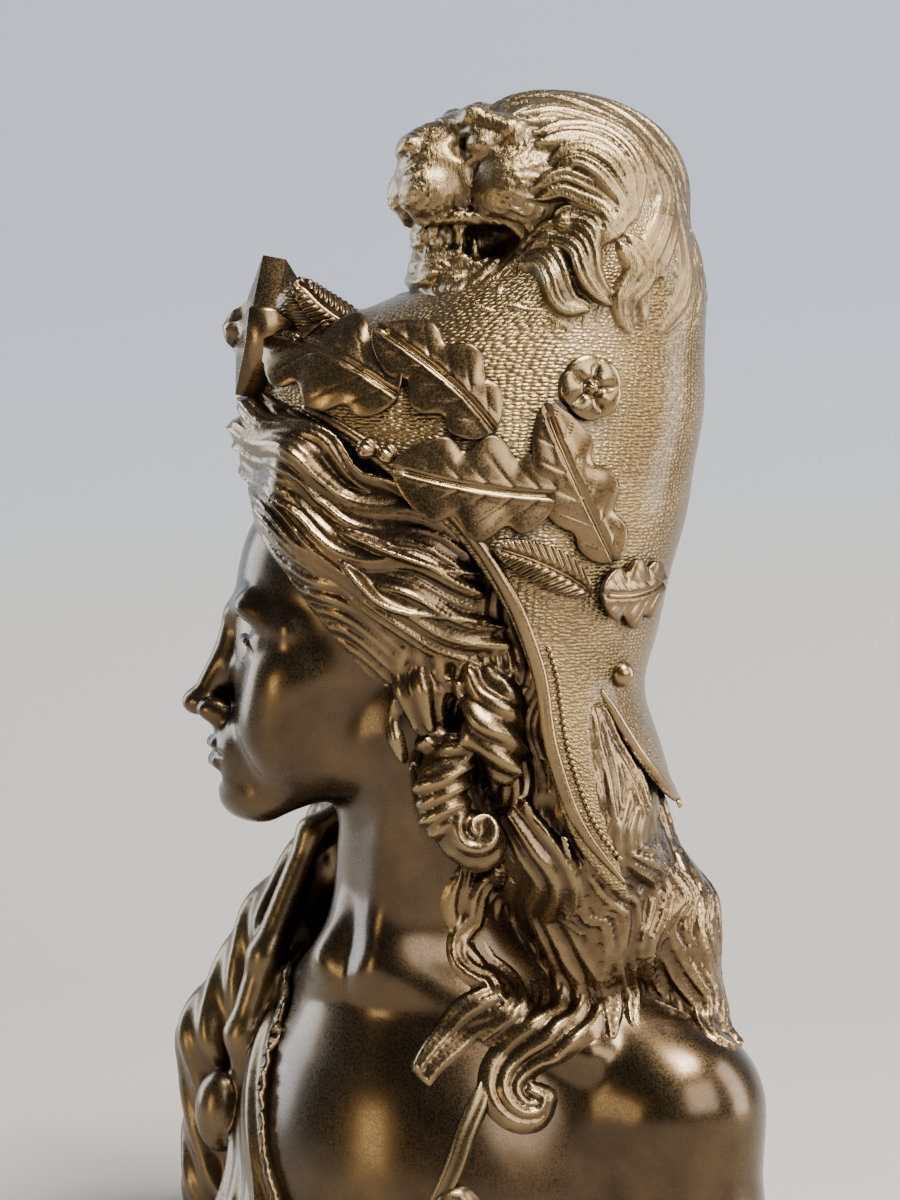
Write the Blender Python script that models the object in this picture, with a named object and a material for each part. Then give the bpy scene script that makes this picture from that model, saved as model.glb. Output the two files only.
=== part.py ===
"""Bronze bust of a woman in a Phrygian cap with a lion's head and an oak wreath.

The bust faces -Y and its head is turned to its own right. Z = 0 is the flat underside,
and the origin lies on it, under the neck. The casting is one solid. Its broad forms are
distance fields blended into each other, its locks, leaves and ornaments are meshes laid
on those forms, and a voxel remesh makes them one skin.
"""

import math

import bpy
import numpy as np
import openvdb
from mathutils import Euler

# Driving sizes, in metres. Free forms are shares of the bust's height, through MM.
BUST_HEIGHT = 0.220
CAP_WALL = 0.0024
RIM_WIDTH = 0.0030
RIM_HEIGHT = 0.0012
BEAD_RADIUS = 0.0007
OAK_LEAF_LENGTH = 0.0260
OAK_LEAF_WIDTH = 0.0155
SMALL_LEAF_LENGTH = 0.0170
SMALL_LEAF_WIDTH = 0.0068
LEAF_THICKNESS = 0.0017
STAR_RADIUS = 0.0140
STAR_THICKNESS = 0.0050
ROSETTE_RADIUS = 0.0056
ROSETTE_HEIGHT = 0.0020
KNOB_RADIUS = 0.0026
LOCK_WIDTH = 0.0043
LOCK_THICKNESS = 0.0034
MANE_LOCK_WIDTH = 0.0042
CLOTH_THICKNESS = 0.0022
STRAP_WIDTH = 0.0046

# One millimetre of the bust as it is drawn here, 220 of them high
MM = BUST_HEIGHT / 220

# How finely the forms are sampled, and how many triangles the casting may have
FIELD_STEP = 1.6 * MM
SKIN_STEP = 1.05 * MM
TRIANGLES = 9600

# The head's own frame: x to the head's left, y to its back, z up, zero at eye level
HEAD_TURN = math.radians(-50)
HEAD_PLACE = np.array((0.0, -23.0, 125.0)) * MM
HEAD_AXES = np.array(Euler((0, 0, HEAD_TURN)).to_matrix())

# The lion's frame inside the head's: its muzzle points along -y, turned a little to the left
LION_TURN = math.radians(9)
LION_PLACE = np.array((0.0, 25.0, 77.0)) * MM
LION_AXES = np.array(Euler((0, 0, LION_TURN)).to_matrix())

BRONZE = (0.30, 0.19, 0.09, 1.0)


def mm(*values):
    """A point or a size given in millimetres of the nominal bust."""
    return np.array(values, float) * MM


# Distance fields: each takes an array of points and gives a signed distance for each


def ellipsoid(p, centre, radii, turn=(0, 0, 0)):
    q = p - mm(*centre)
    if any(turn):
        q = q @ np.array(Euler([math.radians(a) for a in turn]).to_matrix())
    r = mm(*radii)
    k0 = np.linalg.norm(q / r, axis=-1)
    k1 = np.linalg.norm(q / r**2, axis=-1)
    return k0 * (k0 - 1.0) / np.maximum(k1, 1e-9)


def limb(p, start, end, start_radius, end_radius):
    a, b = mm(*start), mm(*end)
    along = np.clip(((p - a) @ (b - a)) / ((b - a) @ (b - a)), 0, 1)
    radius = (start_radius + (end_radius - start_radius) * along) * MM
    return np.linalg.norm(p - a - along[:, None] * (b - a), axis=-1) - radius


def blend(a, b, reach):
    h = np.maximum(reach * MM - np.abs(a - b), 0) / (reach * MM)
    return np.minimum(a, b) - h * h * reach * MM * 0.25


def carve(a, b, reach):
    return -blend(-a, b, reach)


def mirrored(p):
    """The same points with their left and right halves laid over each other."""
    q = p.copy()
    q[:, 0] = np.abs(q[:, 0])
    return q


def curve_value(x, stations):
    """A smooth value at x, through stations of (x, value) in rising x."""
    xs, ys = (np.array(column, float) for column in zip(*stations))
    slopes = np.gradient(ys, xs)
    x = np.clip(x, xs[0], xs[-1])
    i = np.clip(np.searchsorted(xs, x) - 1, 0, len(xs) - 2)
    h = xs[i + 1] - xs[i]
    t = (x - xs[i]) / h
    return (
        (2 * t**3 - 3 * t**2 + 1) * ys[i]
        + (t**3 - 2 * t**2 + t) * h * slopes[i]
        + (3 * t**2 - 2 * t**3) * ys[i + 1]
        + (t**3 - t**2) * h * slopes[i + 1]
    )


def to_head(p):
    return (p - HEAD_PLACE) @ HEAD_AXES


def from_head(p):
    return p @ HEAD_AXES.T + HEAD_PLACE


def to_lion(p):
    return (p - LION_PLACE) @ LION_AXES


def from_lion(p):
    return from_head(p @ LION_AXES.T + LION_PLACE)


def skull(q):
    """Cranium, face block, cheeks and jaw, in the head's frame."""
    m = mirrored(q)
    d = ellipsoid(q, (0, 3, 8), (22.5, 29.5, 26))
    d = blend(d, ellipsoid(q, (0, -8.5, -9), (17.2, 19.3, 21)), 8)
    d = blend(d, limb(m, (13.5, 2, -17.5), (4, -21.5, -29.5), 5.2, 5.4), 6)
    d = blend(d, ellipsoid(q, (0, -25.0, -30.3), (5.6, 5.2, 4.7)), 4)
    d = blend(d, ellipsoid(m, (13.8, -15.5, -8), (6.2, 7.5, 6.5)), 6)
    return blend(d, ellipsoid(m, (10.5, -16.5, -17), (8, 9, 9)), 6)


def features(d, q):
    """Adds brow, eyes, nose, lips and chin fold to the skull's distance."""
    m = mirrored(q)
    d = blend(d, limb(m, (2, -27.3, 3.0), (14.5, -21.3, 3.6), 2.3, 1.8), 4)
    d = carve(d, ellipsoid(m, (8.9, -29.0, -2.4), (6.6, 5.4, 4.2)), 4)
    d = blend(d, ellipsoid(m, (8.9, -21.5, -2.6), (5.6, 5.4, 5.0)), 0.8)
    d = blend(d, limb(q, (0, -26.4, 1.0), (0, -32.8, -13.0), 2.0, 2.5), 4)
    d = blend(d, ellipsoid(q, (0, -34.0, -13.6), (2.8, 2.8, 2.5)), 1.5)
    d = blend(d, ellipsoid(m, (3.3, -30.6, -14.6), (2.2, 3.2, 2.3)), 1.2)
    d = blend(d, ellipsoid(q, (0, -25.6, -21.5), (8.5, 5.6, 7.0)), 4)
    d = blend(d, limb(m, (0, -30.6, -20.9), (6.0, -27.4, -22.2), 1.4, 0.5), 0.9)
    d = blend(d, limb(m, (0, -30.2, -24.3), (4.8, -27.6, -23.4), 1.6, 0.6), 0.9)
    return carve(d, ellipsoid(q, (0, -32.0, -27.4), (5, 2.4, 1.1)), 1.5)


NECK_TOP = (6, -18, 106)
NECK_BASE = (0, -11, 60)
THROAT_PIT = (0, -33, 66)
MASTOID = (19, 6, -13)


def neck(p):
    """The neck and the two muscles that run from behind the ears to the pit of the throat."""
    d = limb(p, NECK_TOP, NECK_BASE, 15.2, 17.5)
    for side in (-1, 1):
        top = from_head(mm(side * MASTOID[0] * 0.8, *MASTOID[1:])) / MM
        foot = (THROAT_PIT[0] + side * 3.0, THROAT_PIT[1] + 3.5, THROAT_PIT[2])
        d = blend(d, limb(p, top, foot, 4.2, 2.4), 5)
    return d


def torso(p):
    """Ribcage, shoulders, upper arms, collarbones and the top of the breasts."""
    m = mirrored(p)
    d = ellipsoid(p, (0, -5, 8), (42, 33, 58))
    d = blend(d, ellipsoid(p, (0, -14, 26), (33, 27, 40)), 10)
    d = blend(d, limb(m, (12, -2, 61), (45, 5, 38), 12, 15.5), 12)
    d = blend(d, limb(m, (45, 5, 37), (51, 5, -14), 15.5, 15), 6)
    d = blend(d, ellipsoid(m, (19, -31, -6), (18.5, 19, 24)), 8)
    return blend(d, limb(m, (4, -31, 64), (38, -11, 50), 2.4, 2.6), 5)


def flesh(p):
    """The bare form: head, neck and torso."""
    q = to_head(p)
    d = blend(features(skull(q), q), neck(p), 7)
    d = blend(d, torso(p), 12)
    return carve(d, ellipsoid(p, (0, -36.5, 67.5), (3.0, 3.5, 3.2)), 4)


# The cap in the head's frame, by height: where its section starts and ends, and half its width
CAP_FRONT = ((-48, 8), (-32, 4), (-12, -5), (0, -15), (12, -20), (25, -22.5), (38, -23),
             (46, -21.5), (51, -16), (55, -8), (58, -2), (61, 5), (65, 16), (72, 24), (84, 26), (92, 32))
CAP_BACK = ((-48, 58), (-32, 54), (-22, 50.5), (-12, 47.5), (0, 49.5), (12, 52.5), (25, 55.5),
            (38, 57.5), (50, 58), (62, 57.5), (75, 53.5), (85, 47), (92, 36))
CAP_HALF_WIDTH = ((-48, 24), (-32, 26), (-12, 27), (0, 28.5), (12, 29), (25, 28), (38, 26),
                  (50, 23.5), (62, 20.5), (75, 18), (85, 14), (92, 7))
# In side view: the front edge of the cap and its lappet, the lappet's back edge, and the nape flap
CAP_EDGE = ((-48, 43.5), (-37, 34.7), (-24, 29.6), (-6, 26.2), (6.7, 21), (19.5, 12), (30, 0),
            (38, -12), (44, -24), (50, -30))
LAPPET_BACK = ((-48, 44.5), (-28, 40.4), (-12, 39.0))
NAPE_EDGE = ((39.0, -12.0), (44.7, -21.5), (54.4, -33.0), (60, -36))
SHELL_TOP = -4.0


def cap_loft(q):
    """Distance to the cap's outer skin, from its sections."""
    z = q[:, 2] / MM
    front, back = curve_value(z, CAP_FRONT), curve_value(z, CAP_BACK)
    wide = curve_value(z, CAP_HALF_WIDTH)
    centre, half = (front + back) / 2, (back - front) / 2
    x, y = q[:, 0] / MM, q[:, 1] / MM - centre
    ring = np.sqrt((x / wide) ** 2 + (y / half) ** 2 + 1e-9)
    slope = np.sqrt((x / wide**2) ** 2 + (y / half**2) ** 2 + 1e-9) / ring
    section = (ring - 1) / np.maximum(slope, 1e-3)
    return blend_max(section * MM, np.abs(z - 22) * MM - 70 * MM, 6)


def blend_max(a, b, reach):
    return -blend(-a, -b, reach)


def cap(q):
    """The cap with its lappets and nape flap: solid on the skull, a thin wall below it."""
    loft = cap_loft(q)
    y, z = q[:, 1] / MM, q[:, 2] / MM
    ahead = (curve_value(z, CAP_EDGE) - y) * 0.8
    notch = np.minimum(y - curve_value(z, LAPPET_BACK), curve_value(y, NAPE_EDGE) - z)
    outside = np.maximum(ahead, np.where(z < -11.9, notch, -50.0)) * MM
    hollow = np.minimum(-loft - CAP_WALL, SHELL_TOP * MM - q[:, 2])
    wall = np.maximum(loft, hollow)
    return blend_max(wall, outside, 1.0)


def hair_mass(q):
    """The body of hair under the locks: a roll round the face and the bun at the nape."""
    m = mirrored(q)
    roll = ellipsoid(q, (0, 5, 12), (26.0, 31.5, 30))
    hairline = (q @ np.array((0.0, -0.80, -0.60))) - 6.5 * MM
    d = blend_max(roll, hairline, 5)
    d = blend(d, limb(m, (4, -18.5, 36), (16, -13, 31), 7.2, 6.5), 5)
    return blend(d, limb(m, (9, 26, -12), (10, 34, -34), 15, 14), 8)


def hair_fall(p):
    """The mass of hair that falls from the nape over the left shoulder and the back."""
    d = limb(p, (16, -6, 96), (22, 2, 80), 15, 14)
    d = blend(d, limb(p, (28, 4, 84), (36, 11, 70), 12, 10), 8)
    d = blend(d, limb(p, (36, 11, 70), (43, 12, 54), 10, 6.5), 6)
    d = blend(d, limb(p, (14, 10, 78), (6, 17, 50), 13, 8), 8)
    return blend(d, limb(p, (4, 10, 74), (-16, 14, 58), 11, 7.5), 8)


def lion(q):
    """The lion's head in its own frame: its mouth is open at the sides, round the front teeth."""
    m = mirrored(q)
    d = ellipsoid(q, (0, 3, 1.5), (15.5, 19, 17))
    d = blend(d, ellipsoid(q, (0, 12, 0), (17.5, 18, 17)), 6)
    d = blend(d, ellipsoid(q, (0, -14.5, 4.5), (8.0, 8.6, 8.2)), 3)
    d = blend(d, ellipsoid(m, (4.2, -17.6, 1.2), (4.9, 6.2, 5.2)), 2)
    d = blend(d, ellipsoid(q, (0, -21.0, 9.2), (4.3, 3.0, 2.2)), 1.5)
    d = blend(d, ellipsoid(m, (10.5, -4.0, 1.5), (5.6, 7.0, 7.0)), 2.5)
    d = blend(d, ellipsoid(m, (6.6, -9.0, 13.0), (4.4, 3.6, 2.6)), 2.5)
    d = blend(d, limb(m, (11, 2, -10), (3.6, -16.0, -12.4), 5.0, 4.0), 3)
    d = blend(d, ellipsoid(q, (0, -1.5, -15.0), (14.0, 20.0, 4.2)), 2)
    d = carve(d, ellipsoid(m, (7.4, -13.2, 9.2), (2.8, 2.8, 2.2)), 1.5)
    d = blend(d, ellipsoid(m, (6.8, -10.8, 9.2), (2.2, 2.2, 1.9)), 0.4)
    d = carve(d, ellipsoid(m, (9.5, -8.2, -7.4), (7.0, 5.6, 3.9)), 0.8)
    return blend(d, ellipsoid(q, (0, -14.8, -7.0), (5.6, 5.6, 6.0)), 0.8)


# The mantle on the right shoulder: the middle of its outer roll and of its inner ridge
MANTLE_ROLL = ((2, 14, 80, 7.0), (-25, -5, 83, 7.5), (-34, -14, 64, 8.0), (-44.5, -21, 43, 7.5),
               (-45, -20, 15, 7.0), (-43, -18, -10, 7.0))
MANTLE_RIDGE = ((-19, -8, 90, 2.4), (-24, -16, 84, 2.6), (-29, -24, 61, 3.0), (-32, -27, 46, 3.2),
                (-30, -25, 21, 3.0), (-29, -24, -8, 3.0))
NECKLINE = ((-60, 86), (-34, 84), (-24, 66), (-17, 40), (-6, 16), (6, 9), (18, 17), (27, 27),
            (34, 16), (41, -6), (48, -40), (60, -60))


def chain(p, stations, reach):
    """Limbs joined end to end through stations of (x, y, z, radius)."""
    d = None
    for a, b in zip(stations, stations[1:]):
        part = limb(p, a[:3], b[:3], a[3], b[3])
        d = part if d is None else blend(d, part, reach)
    return d


def drapery(p):
    """Tunic and mantle: the torso thickened by cloth, kept below the neckline and folded."""
    x, y, z = (p / MM).T
    fold = np.sin(x * 0.5 + z * 0.16 + 1.4 * np.sin(z * 0.06 + y * 0.04))
    cloth = torso(p) - CLOTH_THICKNESS - fold * 0.8 * MM
    d = blend_max(cloth, (z - curve_value(x, NECKLINE)) * 0.75 * MM, 1.2)
    d = blend(d, chain(p, MANTLE_ROLL, 3), 5)
    d = blend(d, chain(p, MANTLE_RIDGE, 3), 1.5)
    return blend(d, ellipsoid(p, (-36, -29, 31), (5, 5, 8)), 1.5)


def masses(p):
    """Every broad form of the bust in one field."""
    q = to_head(p)
    d = blend(flesh(p), drapery(p), 1.0)
    d = blend(d, hair_fall(p), 2.5)
    d = blend(d, hair_mass(q), 1.0)
    d = blend(d, cap(q), 0.8)
    return blend(d, lion(to_lion(q)), 2.0)


def grown_from(field, low, high, step, coarse=4):
    """Points and four-sided faces of a field's zero level inside a box.

    The field is taken at every coarse-th point first, and at the points between only
    where it is near zero.
    """
    counts = [math.ceil((b - a) / (step * coarse)) * coarse for a, b in zip(low, high)]
    axes = [a + step * np.arange(n) for a, n in zip(low, counts)]
    grid = np.stack(np.meshgrid(*axes, indexing="ij"), axis=-1)
    middle = grid[coarse // 2::coarse, coarse // 2::coarse, coarse // 2::coarse]
    rough = field(middle.reshape(-1, 3)).reshape(middle.shape[:3])
    values = rough.repeat(coarse, 0).repeat(coarse, 1).repeat(coarse, 2)
    near = np.abs(values) < 1.6 * coarse * step
    values[near] = field(grid[near])
    levels = openvdb.FloatGrid(1.0)
    levels.copyFromArray(values.astype(np.float32))
    points, _, faces = levels.convertToPolygons(isovalue=0.0, adaptivity=0.0)
    return points * step + np.array(low), faces


# Laying things on the forms


def slope_at(field, p):
    """The outward unit normal of a field at points."""
    h = 0.2 * MM
    g = np.stack([field(p + h * e) - field(p - h * e) for e in np.eye(3)], axis=-1)
    return g / np.maximum(np.linalg.norm(g, axis=-1, keepdims=True), 1e-9)


def laid_on(field, p, lift, rounds=6):
    """Points moved along the field's slope until they stand lift above its surface."""
    p = np.array(p, float)
    for _ in range(rounds):
        p = p - slope_at(field, p) * np.clip(field(p) - lift, -4 * MM, 4 * MM)[:, None]
    return p


def cast(field, starts, way, far=120.0):
    """Where straight lines from starts along way meet the field, or come closest to it."""
    starts = np.array(starts, float)
    gone, nearest, best = np.zeros(len(starts)), np.full(len(starts), np.inf), np.zeros(len(starts))
    for _ in range(60):
        distance = field(starts + gone[:, None] * way)
        closer = distance < nearest - 0.02 * MM
        best, nearest = np.where(closer, gone, best), np.where(closer, distance, nearest)
        gone = np.minimum(gone + np.maximum(distance, 0.3 * MM * (nearest > 0)) * 0.8, far * MM)
    return laid_on(field, starts + best[:, None] * way, 0.0, 8)


def smooth_path(points, count):
    """count points, evenly spaced along a smooth curve through the given ones."""
    points = np.array(points, float)
    knots = np.arange(len(points))
    fine = np.linspace(0, len(points) - 1, 12 * len(points))
    dense = np.stack([curve_value(fine, list(zip(knots, c))) for c in points.T], axis=-1)
    run = np.concatenate([[0], np.cumsum(np.linalg.norm(np.diff(dense, axis=0), axis=1))])
    even = np.linspace(0, run[-1], count)
    return np.stack([np.interp(even, run, c) for c in dense.T], axis=-1)


def grid_faces(rows, columns, around):
    """Faces of a grid of points; around closes the columns into a ring."""
    width = columns if around else columns - 1
    i, j = np.meshgrid(np.arange(rows - 1), np.arange(width), indexing="ij")
    k = (j + 1) % columns
    corners = (i * columns + j, i * columns + k, (i + 1) * columns + k, (i + 1) * columns + j)
    return [tuple(int(c) for c in f) for f in np.stack(corners, axis=-1).reshape(-1, 4)]


def tube(rings):
    """A closed skin through rings of points, each ring the same length."""
    rows, columns, _ = rings.shape
    faces = grid_faces(rows, columns, True)
    faces.append(tuple(range(columns))[::-1])
    faces.append(tuple((rows - 1) * columns + c for c in range(columns)))
    return rings.reshape(-1, 3), [f[::-1] for f in faces]


def plate(top, bottom):
    """A closed skin between two grids of points."""
    rows, columns, _ = top.shape
    n = rows * columns
    faces = grid_faces(rows, columns, False)
    faces += [tuple(c + n for c in f)[::-1] for f in grid_faces(rows, columns, False)]
    rim = [c for c in range(columns)]
    rim += [r * columns + columns - 1 for r in range(1, rows)]
    rim += [(rows - 1) * columns + c for c in range(columns - 2, -1, -1)]
    rim += [r * columns for r in range(rows - 2, 0, -1)]
    faces += [(b, a, a + n, b + n) for a, b in zip(rim, rim[1:] + rim[:1])]
    return np.concatenate([top.reshape(-1, 3), bottom.reshape(-1, 3)]), faces


# Hair


def lock(field, path, width, thickness, wave=0.0, waves=2.0, phase=0.0, count=16, sides=8):
    """One lock of hair along a path on the field, waving sideways and tapering to its ends."""
    path = smooth_path(path, count)
    t = np.linspace(0, 1, count)
    normal = slope_at(field, path)
    along = np.gradient(path, axis=0)
    along /= np.linalg.norm(along, axis=-1, keepdims=True)
    across = np.cross(along, normal)
    across /= np.maximum(np.linalg.norm(across, axis=-1, keepdims=True), 1e-9)
    normal = np.cross(across, along)
    swing = wave * np.sin(2 * math.pi * waves * t + phase) * np.minimum(4 * t, 1)
    path = path + across * swing[:, None]
    taper = np.clip(np.sin(math.pi * np.clip(t * 0.93 + 0.05, 0, 1)), 0.12, 1) ** 0.55
    angle = np.linspace(0, 2 * math.pi, sides, endpoint=False)
    side = np.cos(angle)[None, :, None] * across[:, None] * (width / 2 * taper)[:, None, None]
    rise = np.sin(angle)[None, :, None] * normal[:, None] * (thickness * taper)[:, None, None]
    return tube(path[:, None] + side + rise)


def head_path(points):
    """Points of the head's left side, given as (y, z), cast onto the hair from the left."""
    starts = np.array([mm(60, y, z) for y, z in points])
    hit = cast(head_base, starts, np.array((-1.0, 0, 0)))
    return hit


def head_base(q):
    """Skull and hair in the head's frame, without the cap."""
    return blend(skull(q), hair_mass(q), 1.0)


# Guides of the temple hair in side view, from the forehead's middle back to the cap's edge
TEMPLE_UPPER = ((-27.5, 35), (-20, 33), (-9, 26), (3, 21), (12, 14), (20, 4))
TEMPLE_LOWER = ((-26, 24), (-19, 16), (-9, 8), (-1, 0), (9, -8), (22, -19))
TEMPLE_LOCKS = 5
# Locks in front of the ear, hanging beside the cheek, in side view
SIDE_LOCKS = (((4, 3), (3.5, -6), (6, -16), (9, -25)),
              ((10, -2), (10, -10), (12, -18), (13, -26)),
              ((17, -6), (19, -13), (22, -20), (21, -28)))
RINGLET = ((11, -23), (14, -30), (18, -37), (21, -43))
RINGLET_RADIUS = 4.6


def temple_hair():
    """Waved locks swept from the brow over the temple, on both sides."""
    made = []
    for i in range(TEMPLE_LOCKS):
        share = i / (TEMPLE_LOCKS - 1)
        guide = np.array(TEMPLE_UPPER) * (1 - share) + np.array(TEMPLE_LOWER) * share
        path = head_path(guide)
        made.append(lock(head_base, path, LOCK_WIDTH, LOCK_THICKNESS, 0.9 * MM, 1.6, i))
    for guide in SIDE_LOCKS:
        made.append(lock(head_base, head_path(guide), LOCK_WIDTH * 1.3, LOCK_THICKNESS * 1.3,
                         0.8 * MM, 1.5, guide[0][0]))
    ringlet = smooth_path(head_path(RINGLET), 14)
    ringlet[:, 0] = np.linspace(20, 19, 14) * MM
    made.append(lock(head_base, ringlet, 2 * RINGLET_RADIUS * MM, RINGLET_RADIUS * MM, 0.8 * MM, 3))
    return both_sides(made, from_head)


# Locks beside the neck and on the left shoulder, as seen from the left front: (across, up)
VIEW_TURN = math.radians(40)
FRONT_LOCKS = (((12, 87), (17, 76), (21, 66), (23, 58), (17, 50), (9, 46)),
               ((17, 84), (22, 75), (29, 64), (29, 54), (25, 47)),
               ((28, 92), (31, 80), (35, 68), (37, 58), (41, 50)),
               ((6, 80), (3, 70), (2, 60), (-4, 52), (-9, 46)))
# Locks that fall from the nape in a fan, from the left shoulder round to the right
FALL_LOCKS = (((33, -10, 98), (43, -2, 77), (46, -6, 56)),
              ((38, -3, 99), (47, 7, 77), (50, 9, 55)),
              ((40, 6, 99), (46, 18, 76), (46, 20, 54)),
              ((36, 14, 98), (38, 25, 74), (35, 26, 50)),
              ((28, 18, 98), (26, 28, 72), (22, 28, 45)),
              ((20, 18, 96), (14, 28, 70), (8, 29, 42)),
              ((12, 14, 95), (2, 25, 70), (-6, 28, 44)),
              ((7, 8, 95), (-8, 20, 71), (-19, 25, 48)),
              ((3, 2, 95), (-13, 12, 74), (-27, 18, 57)))


NAPE = (22, -2, 98)


def fallen_base(p):
    return blend(blend(flesh(p), hair_fall(p), 2.5), hair_mass(to_head(p)), 1.0)


def long_hair():
    """The locks that fall beside the neck and over the shoulders and the back."""
    across = np.array((math.cos(VIEW_TURN), math.sin(VIEW_TURN), 0))
    towards = np.array((math.sin(VIEW_TURN), -math.cos(VIEW_TURN), 0))
    made = []
    for i, guide in enumerate(FRONT_LOCKS):
        starts = np.array([across * u * MM + towards * 90 * MM + mm(0, 0, v) for u, v in guide])
        path = cast(fallen_base, starts, -towards)
        made.append(lock(fallen_base, path, LOCK_WIDTH * 1.2, LOCK_THICKNESS, 0.8 * MM, 1.5, i))
    for i, guide in enumerate(FALL_LOCKS):
        root = np.array(guide[0]) + (np.array(NAPE) - guide[0]) * (0.15, 0.15, 0) + (0, 0, 13)
        path = smooth_path([mm(*root)] + [mm(*point) for point in guide], 12)
        path = laid_on(fallen_base, path, 0.3 * MM, 12)
        made.append(lock(fallen_base, path, LOCK_WIDTH * 1.5, LOCK_THICKNESS, 1.6 * MM, 2.0, i,
                         count=22))
    return made


def both_sides(made, place):
    """Each mesh placed, and placed again mirrored from the left to the right."""
    flip = np.array((-1.0, 1, 1))
    return [(place(p), f) for p, f in made] + [
        (place(p * flip), [c[::-1] for c in f]) for p, f in made
    ]


# Ornaments of the cap: oak leaves, rosette, knob, star, rims and beads

# Leaves of the left side in side view: stem (y, z), tip (y, z) and how far the tip lifts
OAK_LEAVES = (((3, 42), (-20, 51.5), 4.5), ((22, 36), (1, 51), 1.5), ((29, 22), (4.5, 31), 2.5),
              ((40, 9), (30, 37), 1.5), ((51, 6), (36, 5), 1.0))
SMALL_LEAVES = (((-2, 53), (-17, 61.5), 3.0), ((37.5, 7.5), (20.7, 13.5), 0.8))
ROSETTE_AT = (37.5, 43.8)
KNOB_AT = (43.0, -8.5)


def cap_point(y, z, side=1):
    """The point of the cap's skin at a place of its side view."""
    hit = cast(cap_loft, [mm(60, y, z)], np.array((-1.0, 0, 0)))
    return hit[0] * np.array((side, 1, 1))


def leaf(stem, tip, lift, length, width, lobes):
    """An oak leaf laid on the cap: lobed outline, raised midrib and a lifted edge."""
    a, b = cap_point(*stem), cap_point(*tip)
    along = (b - a) / np.linalg.norm(b - a)
    middle = (a + b) / 2
    normal = slope_at(cap_loft, middle[None])[0]
    across = np.cross(normal, along)
    u, v = np.meshgrid(np.linspace(0, 1, 19), np.linspace(-1, 1, 7), indexing="ij")
    outline = np.sin(math.pi * u**0.8) ** 0.6 * (1 + 0.22 * np.cos(2 * math.pi * lobes * u))
    half = width / 2 * np.clip(outline, 0.08, 1.2)
    flat = (middle + along * (u[..., None] - 0.5) * length + across * (v * half)[..., None])
    camber = 1 + 0.5 * np.abs(v) - 0.5 * np.exp(-((v / 0.15) ** 2))
    top = laid_on(cap_loft, flat.reshape(-1, 3), 0.0).reshape(flat.shape)
    rise = slope_at(cap_loft, top.reshape(-1, 3)).reshape(flat.shape)
    raised = top + rise * (LEAF_THICKNESS * camber + lift * MM * u**2)[..., None]
    return plate(raised, top - rise * MM)


def wreath():
    leaves = [leaf(*place, OAK_LEAF_LENGTH, OAK_LEAF_WIDTH, 3) for place in OAK_LEAVES]
    leaves += [leaf(*place, SMALL_LEAF_LENGTH, SMALL_LEAF_WIDTH, 0) for place in SMALL_LEAVES]
    return both_sides(leaves, from_head)


def disc(centre, radius, height, petals, rings=4, sides=20):
    """A round ornament on the cap, its face divided into petals."""
    middle = cap_point(*centre)
    normal = slope_at(cap_loft, middle[None])[0]
    across = np.cross(normal, (0, 0, 1))
    across /= np.linalg.norm(across)
    up = np.cross(across, normal)
    made = []
    for r in np.linspace(1, 0.02, rings):
        a = np.linspace(0, 2 * math.pi, sides, endpoint=False)
        rise = height * (1 - 0.6 * r**4) * (1 + 0.3 * np.cos(petals * a) * r)
        ring = middle + (np.cos(a)[:, None] * across + np.sin(a)[:, None] * up) * radius * r
        made.append(ring + normal * rise[:, None])
    base = made[0] - normal * (height + 2 * MM)
    return tube(np.stack([base] + made))


def star():
    """The faceted five-pointed star above the brow."""
    tilt = math.radians(9)
    forward = np.array((0, -math.cos(tilt), -math.sin(tilt)))
    up = np.array((0, -math.sin(tilt), math.cos(tilt)))
    left = np.array((1.0, 0, 0))
    centre = mm(0, -22.5, 53.5)
    outline = []
    for i in range(10):
        a = math.pi * i / 5
        r = STAR_RADIUS * (1.0 if i % 2 == 0 else 0.48)
        outline.append(left * math.sin(a) * r + up * math.cos(a) * r)
    outline = centre + np.array(outline)
    back = outline - forward * STAR_THICKNESS * 0.5
    tip = centre + (outline - centre) * 0.05
    root = centre + (outline - centre) * 0.5 - forward * STAR_THICKNESS * 1.6
    rings = [root, back, outline, tip + forward * STAR_THICKNESS]
    return tube(np.stack(rings))


def edge_band(stations, width, height, lift, reverse=False):
    """A raised band along an edge of the cap, given as (z, y) in side view."""
    zs = np.linspace(stations[0][0] + 1, 36, 26)
    ys = curve_value(zs, stations) + width / MM / 2
    path = np.array([cap_point(y, z) for y, z in zip(ys, zs)])
    return lock(cap_loft, path, width, height + lift, count=26)


def ornaments():
    made = [disc(ROSETTE_AT, ROSETTE_RADIUS, ROSETTE_HEIGHT, 5)]
    made.append(disc(KNOB_AT, KNOB_RADIUS, KNOB_RADIUS, 0))
    made.append(edge_band(CAP_EDGE, RIM_WIDTH, RIM_HEIGHT, 0.3 * MM))
    points, faces = star()
    return both_sides(made, from_head) + [(from_head(points), faces)]


def shoulder_strap():
    """The narrow strap over the left shoulder, from under the hair to the neckline."""
    towards = np.array((math.sin(VIEW_TURN), -math.cos(VIEW_TURN), 0))
    right = np.array((math.cos(VIEW_TURN), math.sin(VIEW_TURN), 0))
    guide = ((3, 47), (1, 38), (-1, 31), (-4, 24), (-7, 17))
    starts = np.array([right * u * MM + towards * 90 * MM + mm(0, 0, v) for u, v in guide])
    path = cast(torso, starts, -towards)
    return [lock(torso, path, STRAP_WIDTH, CLOTH_THICKNESS)]


# The mane: locks swept back from the lion's cheeks, in its own side view (y, z)
MANE = (((3, 13), (10, 14), (18, 9), (22, 1)), ((3, 8), (10, 8), (17, 2), (20, -7)),
        ((3, 3), (9, 2), (15, -4), (17, -13)), ((3, -3), (8, -5), (12, -10), (13, -18)),
        ((2, -9), (6, -11), (9, -15), (9, -21)))


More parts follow.
